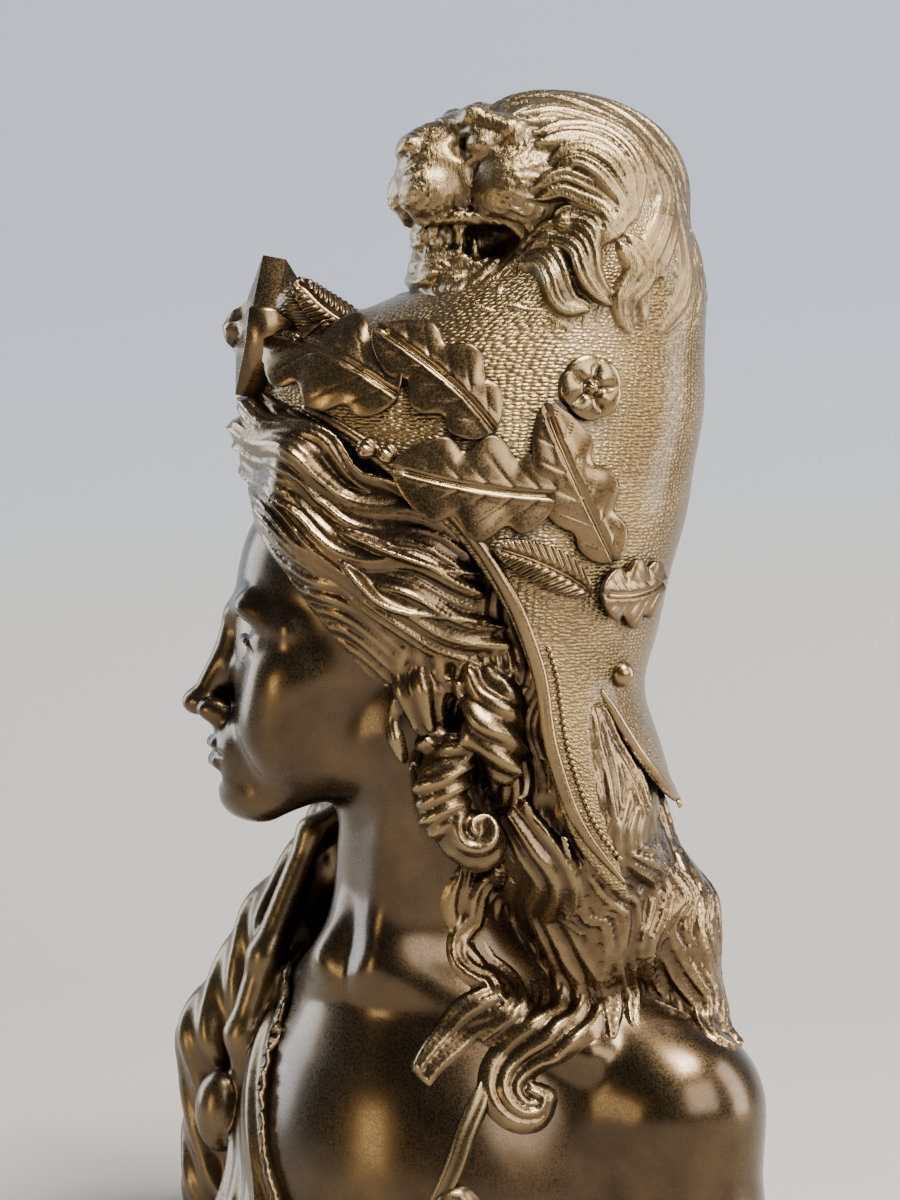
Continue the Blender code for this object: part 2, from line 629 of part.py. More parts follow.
def mane():
    made = []
    for i, guide in enumerate(MANE):
        starts = np.array([mm(50, y, z) for y, z in guide])
        path = cast(lion, starts, np.array((-1.0, 0, 0)))
        made.append(lock(lion, path, MANE_LOCK_WIDTH, MANE_LOCK_WIDTH * 0.7, 0.9 * MM, 1.2, i))
    return both_sides(made, from_lion)


# Building the casting


def as_mesh(name, made):
    """One mesh from a list of (points, faces)."""
    points, faces, first = [], [], 0
    for p, f in made:
        points.append(np.asarray(p, float))
        faces += [tuple(int(c) + first for c in face) for face in f]
        first += len(p)
    mesh = bpy.data.meshes.new(name)
    mesh.from_pydata(np.concatenate(points).tolist(), [], faces)
    mesh.validate()
    return mesh


def apply_modifiers(obj):
    """The object's mesh as its modifiers leave it."""
    graph = bpy.context.evaluated_depsgraph_get()
    obj.data = bpy.data.meshes.new_from_object(obj.evaluated_get(graph))
    obj.modifiers.clear()


def bronze():
    material = bpy.data.materials.new("bronze")
    material.use_nodes = True
    shader = material.node_tree.nodes["Principled BSDF"]
    shader.inputs["Base Color"].default_value = BRONZE
    shader.inputs["Metallic"].default_value = 1.0
    shader.inputs["Roughness"].default_value = 0.38
    return material


def floor_cutter():
    """A block under Z = 0 that cuts the underside flat."""
    bpy.ops.mesh.primitive_cube_add(size=2 * BUST_HEIGHT, location=(0, 0, -BUST_HEIGHT))
    cutter = bpy.context.object
    cutter.name = "floor_cutter"
    cutter.hide_render = True
    cutter.display_type = "WIRE"
    return cutter


def build():
    for obj in list(bpy.data.objects):
        bpy.data.objects.remove(obj, do_unlink=True)
    made = [grown_from(masses, mm(-70, -72, -8), mm(70, 60, 224), FIELD_STEP)]
    made += temple_hair() + long_hair() + wreath() + ornaments() + mane() + shoulder_strap()
    bust = bpy.data.objects.new("bust", as_mesh("bust", made))
    bpy.context.collection.objects.link(bust)
    remesh = bust.modifiers.new("one_skin", "REMESH")
    remesh.mode = "VOXEL"
    remesh.voxel_size = SKIN_STEP
    apply_modifiers(bust)
    soften = bust.modifiers.new("soften", "SMOOTH")
    soften.factor = 0.5
    soften.iterations = 2
    thin = bust.modifiers.new("fewer_faces", "DECIMATE")
    thin.ratio = TRIANGLES / sum(len(face.vertices) - 2 for face in bust.data.polygons)
    flat = bust.modifiers.new("flat_underside", "BOOLEAN")
    flat.operation = "DIFFERENCE"
    flat.object = floor_cutter()
    bust.data.materials.append(bronze())


build()
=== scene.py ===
"""The visible bronze bust: fine forms, hair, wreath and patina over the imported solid.

Everything is worked out in millimetres of the bust's frame (Z = 0 is the underside, the
shoulders face -Y) and turned into metres when a mesh is made.
"""

import math

import bpy
import numpy as np
import openvdb
from mathutils import Euler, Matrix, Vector


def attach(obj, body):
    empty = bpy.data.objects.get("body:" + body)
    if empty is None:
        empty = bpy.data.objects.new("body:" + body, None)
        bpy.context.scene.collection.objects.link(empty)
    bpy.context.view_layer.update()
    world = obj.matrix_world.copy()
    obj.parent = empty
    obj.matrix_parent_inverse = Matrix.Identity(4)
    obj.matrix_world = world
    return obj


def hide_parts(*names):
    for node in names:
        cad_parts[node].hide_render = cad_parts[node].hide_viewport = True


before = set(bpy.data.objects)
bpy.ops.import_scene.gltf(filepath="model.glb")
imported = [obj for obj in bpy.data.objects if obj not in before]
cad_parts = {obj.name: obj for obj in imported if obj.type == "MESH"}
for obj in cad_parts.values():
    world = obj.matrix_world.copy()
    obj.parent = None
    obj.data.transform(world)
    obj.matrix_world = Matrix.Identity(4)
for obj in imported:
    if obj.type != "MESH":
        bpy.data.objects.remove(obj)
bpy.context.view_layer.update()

HEAD_PLACE = np.array((0.0, -23.0, 125.0))
HEAD_AXES = np.array(Euler((0, 0, math.radians(-50))).to_matrix())
LION_PLACE = np.array((0.0, 25.0, 77.0))
LION_AXES = np.array(Euler((0, 0, math.radians(15))).to_matrix())
VIEW_TURN = math.radians(40)
VIEW_ACROSS = np.array((math.cos(VIEW_TURN), math.sin(VIEW_TURN), 0))
VIEW_TOWARDS = np.array((math.sin(VIEW_TURN), -math.cos(VIEW_TURN), 0))
VIEW_RISE = math.radians(5)
VIEW_BACK = VIEW_TOWARDS * math.cos(VIEW_RISE) + np.array((0, 0, math.sin(VIEW_RISE)))
VIEW_UP = np.cross(VIEW_BACK, VIEW_ACROSS)
VIEW_MIDDLE = HEAD_PLACE + VIEW_ACROSS * 12 + np.array((0, 0, 4.9))
VIEW_DISTANCE = 600.0


# Distance fields: each takes an array of points and gives a signed distance for each


def unit(v):
    return v / np.maximum(np.linalg.norm(v, axis=-1, keepdims=True), 1e-9)


def ellipsoid(p, centre, radii):
    q = p - np.array(centre, float)
    r = np.array(radii, float)
    k0 = np.linalg.norm(q / r, axis=-1)
    k1 = np.linalg.norm(q / r**2, axis=-1)
    return k0 * (k0 - 1.0) / np.maximum(k1, 1e-9)


def limb(p, start, end, start_radius, end_radius):
    a, b = np.array(start, float), np.array(end, float)
    along = np.clip(((p - a) @ (b - a)) / ((b - a) @ (b - a)), 0, 1)
    radius = start_radius + (end_radius - start_radius) * along
    return np.linalg.norm(p - a - along[:, None] * (b - a), axis=-1) - radius


def blend(a, b, reach):
    h = np.maximum(reach - np.abs(a - b), 0) / reach
    return np.minimum(a, b) - h * h * reach * 0.25


def blend_max(a, b, reach):
    return -blend(-a, -b, reach)


def carve(a, b, reach):
    return -blend(-a, b, reach)


def chain(p, stations, reach):
    """Limbs joined end to end through stations of (x, y, z, radius)."""
    d = None
    for a, b in zip(stations, stations[1:]):
        part = limb(p, a[:3], b[:3], a[3], b[3])
        d = part if d is None else blend(d, part, reach)
    return d


def mirrored(p):
    q = p.copy()
    q[:, 0] = np.abs(q[:, 0])
    return q


def curve_value(x, stations):
    """A smooth value at x, through stations of (x, value) in rising x."""
    xs, ys = (np.array(column, float) for column in zip(*stations))
    slopes = np.gradient(ys, xs)
    x = np.clip(x, xs[0], xs[-1])
    i = np.clip(np.searchsorted(xs, x) - 1, 0, len(xs) - 2)
    h = xs[i + 1] - xs[i]
    t = (x - xs[i]) / h
    return (
        (2 * t**3 - 3 * t**2 + 1) * ys[i]
        + (t**3 - 2 * t**2 + t) * h * slopes[i]
        + (3 * t**2 - 2 * t**3) * ys[i + 1]
        + (t**3 - t**2) * h * slopes[i + 1]
    )


def to_head(p):
    return (p - HEAD_PLACE) @ HEAD_AXES


def from_head(p):
    return p @ HEAD_AXES.T + HEAD_PLACE


def to_lion(q):
    return (q - LION_PLACE) @ LION_AXES


def skull(q):
    """Cranium, face block, cheeks and jaw, in the head's frame."""
    m = mirrored(q)
    d = ellipsoid(q, (0, 3, 8), (22.5, 29.5, 26))
    d = blend(d, ellipsoid(q, (0, -8.5, -9), (17.2, 19.3, 21)), 8)
    d = blend(d, limb(m, (13.5, 2, -17.5), (4, -21.5, -29.5), 5.2, 5.4), 6)
    d = blend(d, ellipsoid(q, (0, -25.0, -30.3), (5.6, 5.2, 4.7)), 4)
    d = blend(d, ellipsoid(m, (13.8, -15.5, -8), (6.2, 7.5, 6.5)), 6)
    return blend(d, ellipsoid(m, (10.5, -16.5, -17), (8, 9, 9)), 6)


def features(d, q):
    """Adds brow, lidded eyes, nose, lips and chin fold to the skull's distance."""
    m = mirrored(q)
    d = blend(d, limb(m, (2.5, -26.4, 2.4), (11, -23.6, 4.2), 1.7, 1.6), 4.5)
    d = blend(d, limb(m, (11, -23.6, 4.2), (17, -16.5, 1.5), 1.6, 1.2), 5)
    d = carve(d, ellipsoid(m, (8.9, -29.2, -0.6), (6.8, 5.6, 3.4)), 4)
    d = blend(d, ellipsoid(m, (8.9, -19.2, -3.0), (6.4, 5.5, 5.4)), 1.5)
    d = carve(d, chain(m, ((6.0, -25.0, 0.6, 0.3), (9.0, -25.5, 1.5, 0.45), (12.6, -23.9, 0.6, 0.3)),
                       0.3), 1.2)
    d = carve(d, ellipsoid(m, (9.2, -26.4, -3.1), (4.6, 2.2, 1.9)), 0.4)
    d = blend(d, chain(m, ((4.4, -23.6, -3.1, 0.35), (6.4, -24.6, -1.5, 0.55), (9.0, -25.0, -0.9, 0.65),
                           (11.8, -24.4, -1.6, 0.55), (14.0, -22.7, -3.3, 0.35)), 0.2), 0.4)
    d = blend(d, chain(m, ((4.4, -23.6, -3.3, 0.3), (6.8, -24.6, -4.8, 0.45), (9.6, -24.7, -5.2, 0.5),
                           (13.8, -22.8, -3.6, 0.3)), 0.2), 0.5)
    d = blend(d, limb(q, (0, -26.4, 1.0), (0, -32.8, -13.0), 1.9, 2.4), 4)
    d = blend(d, ellipsoid(q, (0, -34.0, -13.6), (2.7, 2.8, 2.4)), 1.5)
    d = blend(d, ellipsoid(m, (3.2, -30.6, -14.7), (2.1, 3.2, 2.2)), 1.0)
    d = carve(d, ellipsoid(m, (1.9, -32.0, -16.6), (0.9, 1.7, 0.8)), 0.5)
    d = blend(d, ellipsoid(q, (0, -25.6, -21.5), (8.5, 5.6, 7.0)), 4)
    d = carve(d, limb(q, (0, -31.9, -17.4), (0, -31.9, -19.4), 0.5, 0.7), 0.9)
    upper = ((0.9, -31.2, -20.9, 1.15), (3.2, -30.2, -20.9, 1.15), (6.2, -27.2, -22.4, 0.5))
    lower = ((0, -30.6, -24.2, 1.6), (2.8, -29.7, -24.1, 1.4), (5.6, -27.0, -23.1, 0.6))
    d = blend(d, chain(m, upper, 1.0), 0.7)
    d = blend(d, chain(m, lower, 1.0), 0.8)
    d = carve(d, chain(m, ((0, -32.6, -22.4, 0.4), (3, -31.5, -22.2, 0.4), (6.0, -28.9, -22.6, 0.3)),
                       0.3), 0.7)
    return carve(d, ellipsoid(q, (0, -32.0, -27.4), (5, 2.4, 1.1)), 1.5)


def neck(p):
    d = limb(p, (6, -18, 106), (0, -11, 60), 15.2, 17.5)
    for side in (-1, 1):
        top = from_head(np.array((side * 15.2, 6.0, -13.0)))
        d = blend(d, limb(p, top, (side * 4.0, -27.5, 65), 4.0, 2.2), 7)
    return d


def torso(p):
    """Ribcage, shoulders, upper arms, collarbones and the top of the breasts."""
    m = mirrored(p)
    d = ellipsoid(p, (0, -5, 8), (42, 33, 58))
    d = blend(d, ellipsoid(p, (0, -14, 26), (33, 27, 40)), 10)
    d = blend(d, limb(m, (12, -2, 61), (45, 5, 38), 12, 15.5), 12)
    d = blend(d, limb(m, (45, 5, 37), (51, 5, -14), 15.5, 15), 6)
    d = blend(d, ellipsoid(m, (19, -31, -6), (18.5, 19, 24)), 8)
    return blend(d, limb(m, (4, -31, 64), (38, -11, 50), 2.4, 2.6), 5)


def flesh(p):
    """The bare form: head, neck and torso."""
    q = to_head(p)
    d = blend(features(skull(q), q), neck(p), 7)
    d = blend(d, torso(p), 12)
    return carve(d, ellipsoid(p, (0, -39.5, 68.0), (3.5, 4.5, 4.0)), 7)


CAP_FRONT = ((-48, 8), (-32, 4), (-12, -5), (0, -15), (12, -20), (25, -22.5), (38, -23),
             (46, -21.5), (51, -16), (55, -8), (58, -2), (61, 5), (65, 16), (72, 24), (84, 26),
             (92, 32))
CAP_BACK = ((-48, 58), (-32, 54), (-22, 50.5), (-12, 47.5), (0, 49.5), (12, 52.5), (25, 55.5),
            (38, 57.5), (50, 58), (62, 57.5), (75, 53.5), (85, 47), (92, 36))
CAP_HALF_WIDTH = ((-48, 24), (-32, 26), (-12, 27), (0, 28.5), (12, 29), (25, 28), (38, 26),
                  (50, 23.5), (62, 20.5), (75, 18), (85, 14), (92, 7))
CAP_EDGE = ((-48, 43.5), (-37, 34.7), (-24, 29.6), (-6, 26.2), (6.7, 21), (19.5, 12), (30, 0),
            (38, -12), (44, -24), (50, -30))
LAPPET_BACK = ((-48, 44.5), (-44, 43.2), (-35, 40.4), (-26, 38.3), (-18, 36.8), (-12, 37.2))
NAPE_EDGE = ((39.0, -12.0), (44.7, -21.5), (54.4, -33.0), (60, -36))


def cap_loft(q):
    """Distance to the cap's outer skin, from its sections by height."""
    z = q[:, 2]
    front, back = curve_value(z, CAP_FRONT), curve_value(z, CAP_BACK)
    wide = curve_value(z, CAP_HALF_WIDTH)
    half = (back - front) / 2
    x, y = q[:, 0], q[:, 1] - (front + back) / 2
    ring = np.sqrt((x / wide) ** 2 + (y / half) ** 2 + 1e-9)
    slope = np.sqrt((x / wide**2) ** 2 + (y / half**2) ** 2 + 1e-9) / ring
    return blend_max((ring - 1) / np.maximum(slope, 1e-3), np.abs(z - 22) - 70, 6)


def brow_pad(m):
    """The swelling of the cap that carries the feather-shaped leaf behind the star."""
    return limb(m, (4.5, -1, 49), (5.0, -15, 57.5), 5.5, 4.5)


def cap_skin(q):
    """The cap's outer skin with its soft dents and the fold under the lion's head."""
    y, z = q[:, 1], q[:, 2]
    dent = 0.35 * np.sin(0.21 * y + 0.13 * z + 0.6) * np.sin(0.17 * z - 0.1 * y)
    return blend(cap_loft(q) + dent, brow_pad(mirrored(q)), 4)


def cap(q):
    """The cap with its lappets and nape flap: solid on the skull, a thin wall below it."""
    loft = cap_skin(q)
    y, z = q[:, 1], q[:, 2]
    ahead = (curve_value(z, CAP_EDGE) - y) * 0.8
    notch = np.minimum(y - curve_value(z, LAPPET_BACK), curve_value(y, NAPE_EDGE) - z)
    outside = np.maximum(ahead, np.where(z < -11.9, notch, -50.0))
    hollow = np.minimum(-loft - 2.2, -4.0 - z)
    return blend_max(np.maximum(loft, hollow), outside, 0.8)


def hair_mass(q):
    """The body of hair under the locks: a roll round the face and the bun at the nape."""
    m = mirrored(q)
    roll = ellipsoid(q, (0, 5, 12), (26.0, 31.5, 30))
    hairline = (q @ np.array((0.0, -0.80, -0.60))) - 6.5
    d = blend_max(roll, hairline, 5)
    d = blend(d, limb(m, (4, -18.5, 36), (16, -13, 31), 7.2, 6.5), 5)
    d = blend(d, limb(m, (9, 26, -12), (10, 34, -34), 15, 14), 8)
    gap = chain(m, ((26.5, 17, 12, 2.0), (26.5, 24, -3, 3.2), (24.5, 26.5, -16, 4.4),
                    (24.0, 29, -30, 4.6), (24, 35, -43, 3.0)), 1)
    return carve(d, gap, 1.5)


def hair_fall(p):
    """The mass of hair that falls from the nape over the left shoulder and the back."""
    d = limb(p, (16, -6, 96), (22, 2, 80), 15, 14)
    d = blend(d, limb(p, (28, 4, 84), (36, 11, 70), 12, 10), 8)
    d = blend(d, limb(p, (36, 11, 70), (43, 12, 54), 10, 6.5), 6)
    d = blend(d, chain(p, ((30, -7, 90, 11.5), (32, -2, 70, 9.5), (32, -1, 60, 6.0)), 4), 6)
    d = blend(d, limb(p, (14, 10, 78), (6, 17, 50), 13, 8), 8)
    return blend(d, limb(p, (4, 10, 74), (-16, 14, 58), 11, 7.5), 8)


def lion(q):
    """The lion's head in its own frame: brow, eyes, nose, whisker pads and open mouth."""
    m = mirrored(q)
    d = ellipsoid(q, (0, 3, 1.5), (15.5, 19, 17))
    d = blend(d, ellipsoid(q, (0, 12, 0), (17.5, 18, 17)), 6)
    d = blend(d, ellipsoid(q, (0, -14.5, 4.5), (8.0, 8.6, 8.2)), 3)
    d = blend(d, limb(q, (0, -8, 14.0), (0, -19, 9.6), 3.2, 2.8), 2)
    d = blend(d, ellipsoid(m, (4.2, -17.6, 1.2), (4.9, 6.2, 5.2)), 1.0)
    d = carve(d, limb(q, (0, -25.0, 6.0), (0, -24.3, -4.5), 0.7, 0.7), 0.7)
    d = blend(d, ellipsoid(q, (0, -21.0, 9.2), (4.3, 3.0, 2.2)), 0.8)
    d = carve(d, ellipsoid(m, (2.9, -23.2, 7.8), (1.3, 1.4, 0.8)), 0.6)
    d = carve(d, limb(m, (9.4, -11.4, 7.0), (8.8, -11.4, -2.0), 0.8, 0.6), 1.4)
    d = blend(d, ellipsoid(m, (10.5, -4.0, 1.5), (5.6, 7.0, 7.0)), 2.5)
    d = blend(d, limb(m, (11, 2, -10), (3.6, -16.0, -12.4), 5.0, 4.0), 3)
    d = blend(d, ellipsoid(q, (0, -1.5, -15.0), (14.0, 20.0, 4.2)), 2)
    d = carve(d, ellipsoid(m, (9.6, -7.8, -7.4), (7.6, 6.4, 4.6)), 0.6)
    d = blend(d, ellipsoid(q, (0, -14.8, -7.0), (5.6, 5.6, 6.0)), 0.8)
    d = blend(d, chain(m, ((4.6, -20.2, -3.9, 0.8), (8.6, -14, -3.3, 0.9), (11.6, -6, -3.8, 0.9),
                           (12.6, -2.4, -7.4, 0.9), (11.0, -5.5, -11.4, 0.9), (6.5, -15.5, -12.0, 0.9)),
                       0.8), 0.8)
    for x, y, top, foot, size in ((6.6, -13.4, -3.4, -10.4, 1.25), (5.0, -17.6, -4.0, -8.6, 1.0),
                                  (6.4, -10.6, -11.4, -7.6, 0.9), (4.4, -18.8, -11.6, -8.6, 0.8)):
        d = blend(d, limb(m, (x, y, top), (x - 0.2, y, foot), size, size * 0.4), 0.4)
    d = blend(d, chain(m, ((3.0, -12.6, 13.2, 1.6), (6.8, -11.0, 14.2, 2.0), (10.8, -5, 12, 1.8)),
                       1.0), 3.0)
    d = carve(d, ellipsoid(m, (8.6, -12.4, 9.6), (3.4, 3.4, 2.6)), 1.2)
    d = blend(d, ellipsoid(m, (8.0, -9.6, 9.4), (3.6, 3.0, 2.3)), 0.3)
    upper_lid = chain(m, ((5.4, -12.8, 11.0, 0.6), (8.4, -11.4, 11.9, 0.8), (11.0, -8.0, 10.4, 0.7)), 0.6)
    lower_lid = chain(m, ((5.2, -13.2, 8.4, 0.6), (8.2, -11.8, 6.9, 0.8), (11.0, -8.4, 8.0, 0.7)), 0.6)
    return blend(blend(d, upper_lid, 0.8), lower_lid, 0.8)


MANTLE_ROLL = ((2, 14, 80, 7.0), (-25, -5, 83, 7.5), (-34, -14, 64, 8.0), (-44.5, -21, 43, 7.5),
               (-45, -20, 15, 7.0), (-43, -18, -10, 7.0))
MANTLE_RIDGE = ((-19, -8, 90, 2.4), (-24, -16, 84, 2.6), (-29, -24, 61, 3.0), (-32, -27, 46, 3.2),
                (-30, -25, 21, 3.0), (-29, -24, -8, 3.0))
NECKLINE = ((-60, 86), (-34, 84), (-24, 66), (-17, 40), (-6, 16), (6, 9), (18, 17), (27, 27),
            (34, 16), (41, -6), (48, -40), (60, -60))


def drapery(p):
    """Tunic and mantle: the torso thickened by cloth, kept below the neckline and folded."""
    x, y, z = p.T
    run = x * 0.5 + z * 0.16 + 1.4 * np.sin(z * 0.06 + y * 0.04)
    fold = np.sin(run) * 0.9 + 0.5 * (1 - np.abs(np.sin(run * 0.5 + 0.7))) ** 2
    fine = 0.35 * np.sin(run * 2.7 + 0.8 * np.sin(z * 0.11))
    line = curve_value(x, NECKLINE) + 0.9 * np.sin(x * 0.55)
    hem = 0.8 * np.exp(-(((z - line + 1.6) / 1.2) ** 2))
    cloth = torso(p) - 1.9 - (fold + fine) * 0.8 - hem
    d = blend_max(cloth, (z - line) * 0.75, 0.9)
    d = blend(d, chain(p, MANTLE_ROLL, 3) - 0.5 * np.sin(run * 2.0), 4)
    d = blend(d, chain(p, MANTLE_RIDGE, 3), 1.2)
    d = blend(d, ellipsoid(p, (-36, -29, 31), (5, 5, 8)), 1.2)
    return blend_max(d, -z, 0.6)


def figure(p):
    """Flesh and the masses of hair, cut flat below."""
    d = blend(flesh(p), hair_fall(p), 2.5)
    d = blend(d, hair_mass(to_head(p)), 0.8)
    return blend_max(d, -p[:, 2], 0.6)


def sampled(field, low, high, step):
    """A field kept on a grid, for quick answers where many small pieces are laid on it."""
    axes = [np.arange(a, b + step, step) for a, b in zip(low, high)]
    grid = np.stack(np.meshgrid(*axes, indexing="ij"), axis=-1)
    kept = field(grid.reshape(-1, 3)).reshape(grid.shape[:3])
    low, last = np.array(low, float), np.array(kept.shape) - 1.001

    def look(p):
        at = np.clip((p - low) / step, 0, last)
        i = at.astype(int)
        f = at - i
        total = np.zeros(len(p))
        for corner in np.ndindex(2, 2, 2):
            share = np.prod(np.where(corner, f, 1 - f), axis=-1)
            total += share * kept[tuple((i + corner).T)]
        return total

    return look


def in_head(field):
    return lambda p: field(to_head(p))


# Meshes: each is made as (points, triangles)


def slope_at(field, p, h=0.15):
    """The outward unit normal of a field at points."""
    return unit(np.stack([field(p + h * e) - field(p - h * e) for e in np.eye(3)], axis=-1))


def laid_on(field, p, rounds=6):
    """Points moved along the field's slope onto its surface."""
    p = np.array(p, float)
    for _ in range(rounds):
        p = p - slope_at(field, p) * np.clip(field(p), -4, 4)[:, None]
    return p


def cast(field, starts, way, far=120.0):
    """Where straight lines from starts along way meet the field, or come closest to it."""
    starts = np.array(starts, float)
    gone, nearest, best = np.zeros(len(starts)), np.full(len(starts), np.inf), np.zeros(len(starts))
    for _ in range(60):
        distance = field(starts + gone[:, None] * way)
        closer = distance < nearest - 0.02
        best, nearest = np.where(closer, gone, best), np.where(closer, distance, nearest)
        gone = np.minimum(gone + np.maximum(distance, 0.3 * (nearest > 0)) * 0.8, far)
    return laid_on(field, starts + best[:, None] * way, 8)


def grown_from(field, low, high, step, coarse=4):
    """Points and triangles of a field's zero level inside a box, sampled only near it."""
    counts = [math.ceil((b - a) / (step * coarse)) * coarse for a, b in zip(low, high)]
    axes = [a + step * np.arange(n) for a, n in zip(low, counts)]
    grid = np.stack(np.meshgrid(*axes, indexing="ij"), axis=-1)
    middle = grid[coarse // 2::coarse, coarse // 2::coarse, coarse // 2::coarse]
    rough = field(middle.reshape(-1, 3)).reshape(middle.shape[:3])
    values = rough.repeat(coarse, 0).repeat(coarse, 1).repeat(coarse, 2)
    near = np.abs(values) < 1.6 * coarse * step
    values[near] = field(grid[near])
    levels = openvdb.FloatGrid(1.0)
    levels.copyFromArray(values.astype(np.float32))
    points, _, quads = levels.convertToPolygons(isovalue=0.0, adaptivity=0.0)
    quads = quads.astype(int)
    return points * step + np.array(low), np.concatenate([quads[:, (0, 1, 2)], quads[:, (0, 2, 3)]])


def edges_of(tris):
    pairs = np.sort(np.concatenate([tris[:, (0, 1)], tris[:, (1, 2)], tris[:, (2, 0)]]), axis=1)
    return np.unique(pairs, axis=0, return_inverse=True)


def gathered(pairs, values):
    """The sums of the neighbours' values at each point, column by column."""
    total = np.zeros(values.shape)
    for a, b in (pairs.T, pairs.T[::-1]):
        for k in range(values.shape[1]):
            total[:, k] += np.bincount(a, values[b, k], minlength=len(values))
    return total


def relaxed(points, tris, weight):
    """Points drawn towards the middle of their neighbours."""
    total = gathered(edges_of(tris)[0], np.column_stack([points, np.ones(len(points))]))
    return points + weight * (total[:, :3] / np.maximum(total[:, 3:], 1) - points)


def refined(points, tris, wanted):
    """Triangles split in four where all corners are wanted, and neatly round that part."""
    pairs, inverse = edges_of(tris)
    inverse = inverse.reshape(3, -1).T
    full = wanted[tris].all(axis=1)
    split = np.zeros(len(pairs), bool)
    split[inverse[full].ravel()] = True
    middle = np.full(len(pairs), -1)
    middle[split] = len(points) + np.arange(split.sum())
    points = np.concatenate([points, points[pairs[split]].mean(axis=1)])
    mids = middle[inverse]
    made = []
    cut = split[inverse].sum(axis=1)
    made.append(tris[cut == 0])
    t, m = tris[cut == 3], mids[cut == 3]
    for corners in ((t[:, 0], m[:, 0], m[:, 2]), (m[:, 0], t[:, 1], m[:, 1]),
                    (m[:, 2], m[:, 1], t[:, 2]), (m[:, 0], m[:, 1], m[:, 2])):
        made.append(np.stack(corners, axis=-1))
    for turn in range(3):
        a, b, c = turn, (turn + 1) % 3, (turn + 2) % 3
        one = (cut == 1) & (mids[:, a] >= 0)
        t, m = tris[one], mids[one]
        made.append(np.stack((t[:, a], m[:, a], t[:, c]), axis=-1))
        made.append(np.stack((m[:, a], t[:, b], t[:, c]), axis=-1))
        two = (cut == 2) & (mids[:, c] < 0)
        t, m = tris[two], mids[two]
        made.append(np.stack((m[:, a], t[:, b], m[:, b]), axis=-1))
        made.append(np.stack((t[:, a], m[:, a], m[:, b]), axis=-1))
        made.append(np.stack((t[:, a], m[:, b], t[:, c]), axis=-1))
    return points, np.concatenate(made)


def skin(field, low, high, step, finer=()):
    """A smooth skin on a field's zero level, finer where the finer tests say."""
    points, tris = grown_from(field, low, high, step)
    points = relaxed(points, tris, 0.5)
    for test in finer:
        points, tris = refined(points, tris, test(points))
        points = relaxed(points, tris, 0.3)
        points = laid_on(field, points, 1)
    return laid_on(field, points, 1), tris


def carved_skin(field, low, high, step):
    """A skin of a field with carved strands, as it comes from its samples."""
    points, tris = grown_from(field, low, high, step)
    return relaxed(points, tris, 0.35), tris


def smooth_path(points, count):
    """count points, evenly spaced along a smooth curve through the given ones."""
    points = np.array(points, float)
    knots = np.arange(len(points))
    fine = np.linspace(0, len(points) - 1, 12 * len(points))
    dense = np.stack([curve_value(fine, list(zip(knots, c))) for c in points.T], axis=-1)
    run = np.concatenate([[0], np.cumsum(np.linalg.norm(np.diff(dense, axis=0), axis=1))])
    even = np.linspace(0, run[-1], count)
    return np.stack([np.interp(even, run, c) for c in dense.T], axis=-1)


def grid_tris(rows, columns, around):
    width = columns if around else columns - 1
    i, j = np.meshgrid(np.arange(rows - 1), np.arange(width), indexing="ij")
    k = (j + 1) % columns
    a, b, c, d = i * columns + j, i * columns + k, (i + 1) * columns + k, (i + 1) * columns + j
    return np.concatenate([np.stack(t, -1).reshape(-1, 3) for t in ((a, b, c), (a, c, d))])


def tube(rings):
    """A closed skin through rings of points, with a middle point in each end."""
    rows, columns, _ = rings.shape
    points = rings.reshape(-1, 3)
    ends = np.stack([rings[0].mean(axis=0), rings[-1].mean(axis=0)])
    n = len(points)
    j, last = np.arange(columns), (rows - 1) * columns
    k = (j + 1) % columns
    near = np.stack([k, j, np.full(columns, n)], axis=-1)
    away = np.stack([last + j, last + k, np.full(columns, n + 1)], axis=-1)
    tris = np.concatenate([grid_tris(rows, columns, True), near, away])
    return np.concatenate([points, ends]), tris[:, ::-1]


def plate(top, bottom):
    """A closed skin between two grids of points."""
    rows, columns, _ = top.shape
    n = rows * columns
    faces = grid_tris(rows, columns, False)
    i = np.arange(n).reshape(rows, columns)
    a = np.concatenate([i[0], i[1:, -1], i[-1, -2::-1], i[-2:0:-1, 0]])
    b = np.roll(a, -1)
    sides = np.concatenate([np.stack([b, a, a + n], -1), np.stack([b, a + n, b + n], -1)])
    tris = np.concatenate([faces, faces[:, ::-1] + n, sides])
    return np.concatenate([top.reshape(-1, 3), bottom.reshape(-1, 3)]), tris


def placed(made, place):
    return [(place(p), f) for p, f in made]


def flipped(made):
    flip = np.array((-1.0, 1, 1))
    return [(p * flip, f[:, ::-1]) for p, f in made]


# Hair


def strand(field, path, width, height, grooves, root, tip, count, sides, deep=0.22):
    """One band laid on the field: grooved along its back, thinner at its ends."""
    path = smooth_path(path, count)
    t = np.linspace(0, 1, count)
    along = unit(np.gradient(path, axis=0))
    across = unit(np.cross(along, slope_at(field, path, 0.6)))
    normal = np.cross(across, along)
    start = root + (1 - root) * np.sin(np.clip(t / 0.22, 0, 1) * math.pi / 2)
    finish = tip + (1 - tip) * np.cos(np.clip((t - 0.5) / 0.5, 0, 1) * math.pi / 2) ** 0.8
    angle = np.linspace(0, 2 * math.pi, sides, endpoint=False)
    share = angle / math.pi
    ridge = np.where(share < 1, 0.5 - 0.5 * np.cos(2 * math.pi * (grooves + 1) * share), 1)
    drift = 1 - deep * (1 - ridge)
    side = np.cos(angle) * drift * width / 2
    rise = np.sin(angle) * drift * np.where(share < 1, height, height * 0.6)
    ring = across[:, None] * side[None, :, None] + normal[:, None] * rise[None, :, None]
    return tube(path[:, None] + ring * (start * finish)[:, None, None])


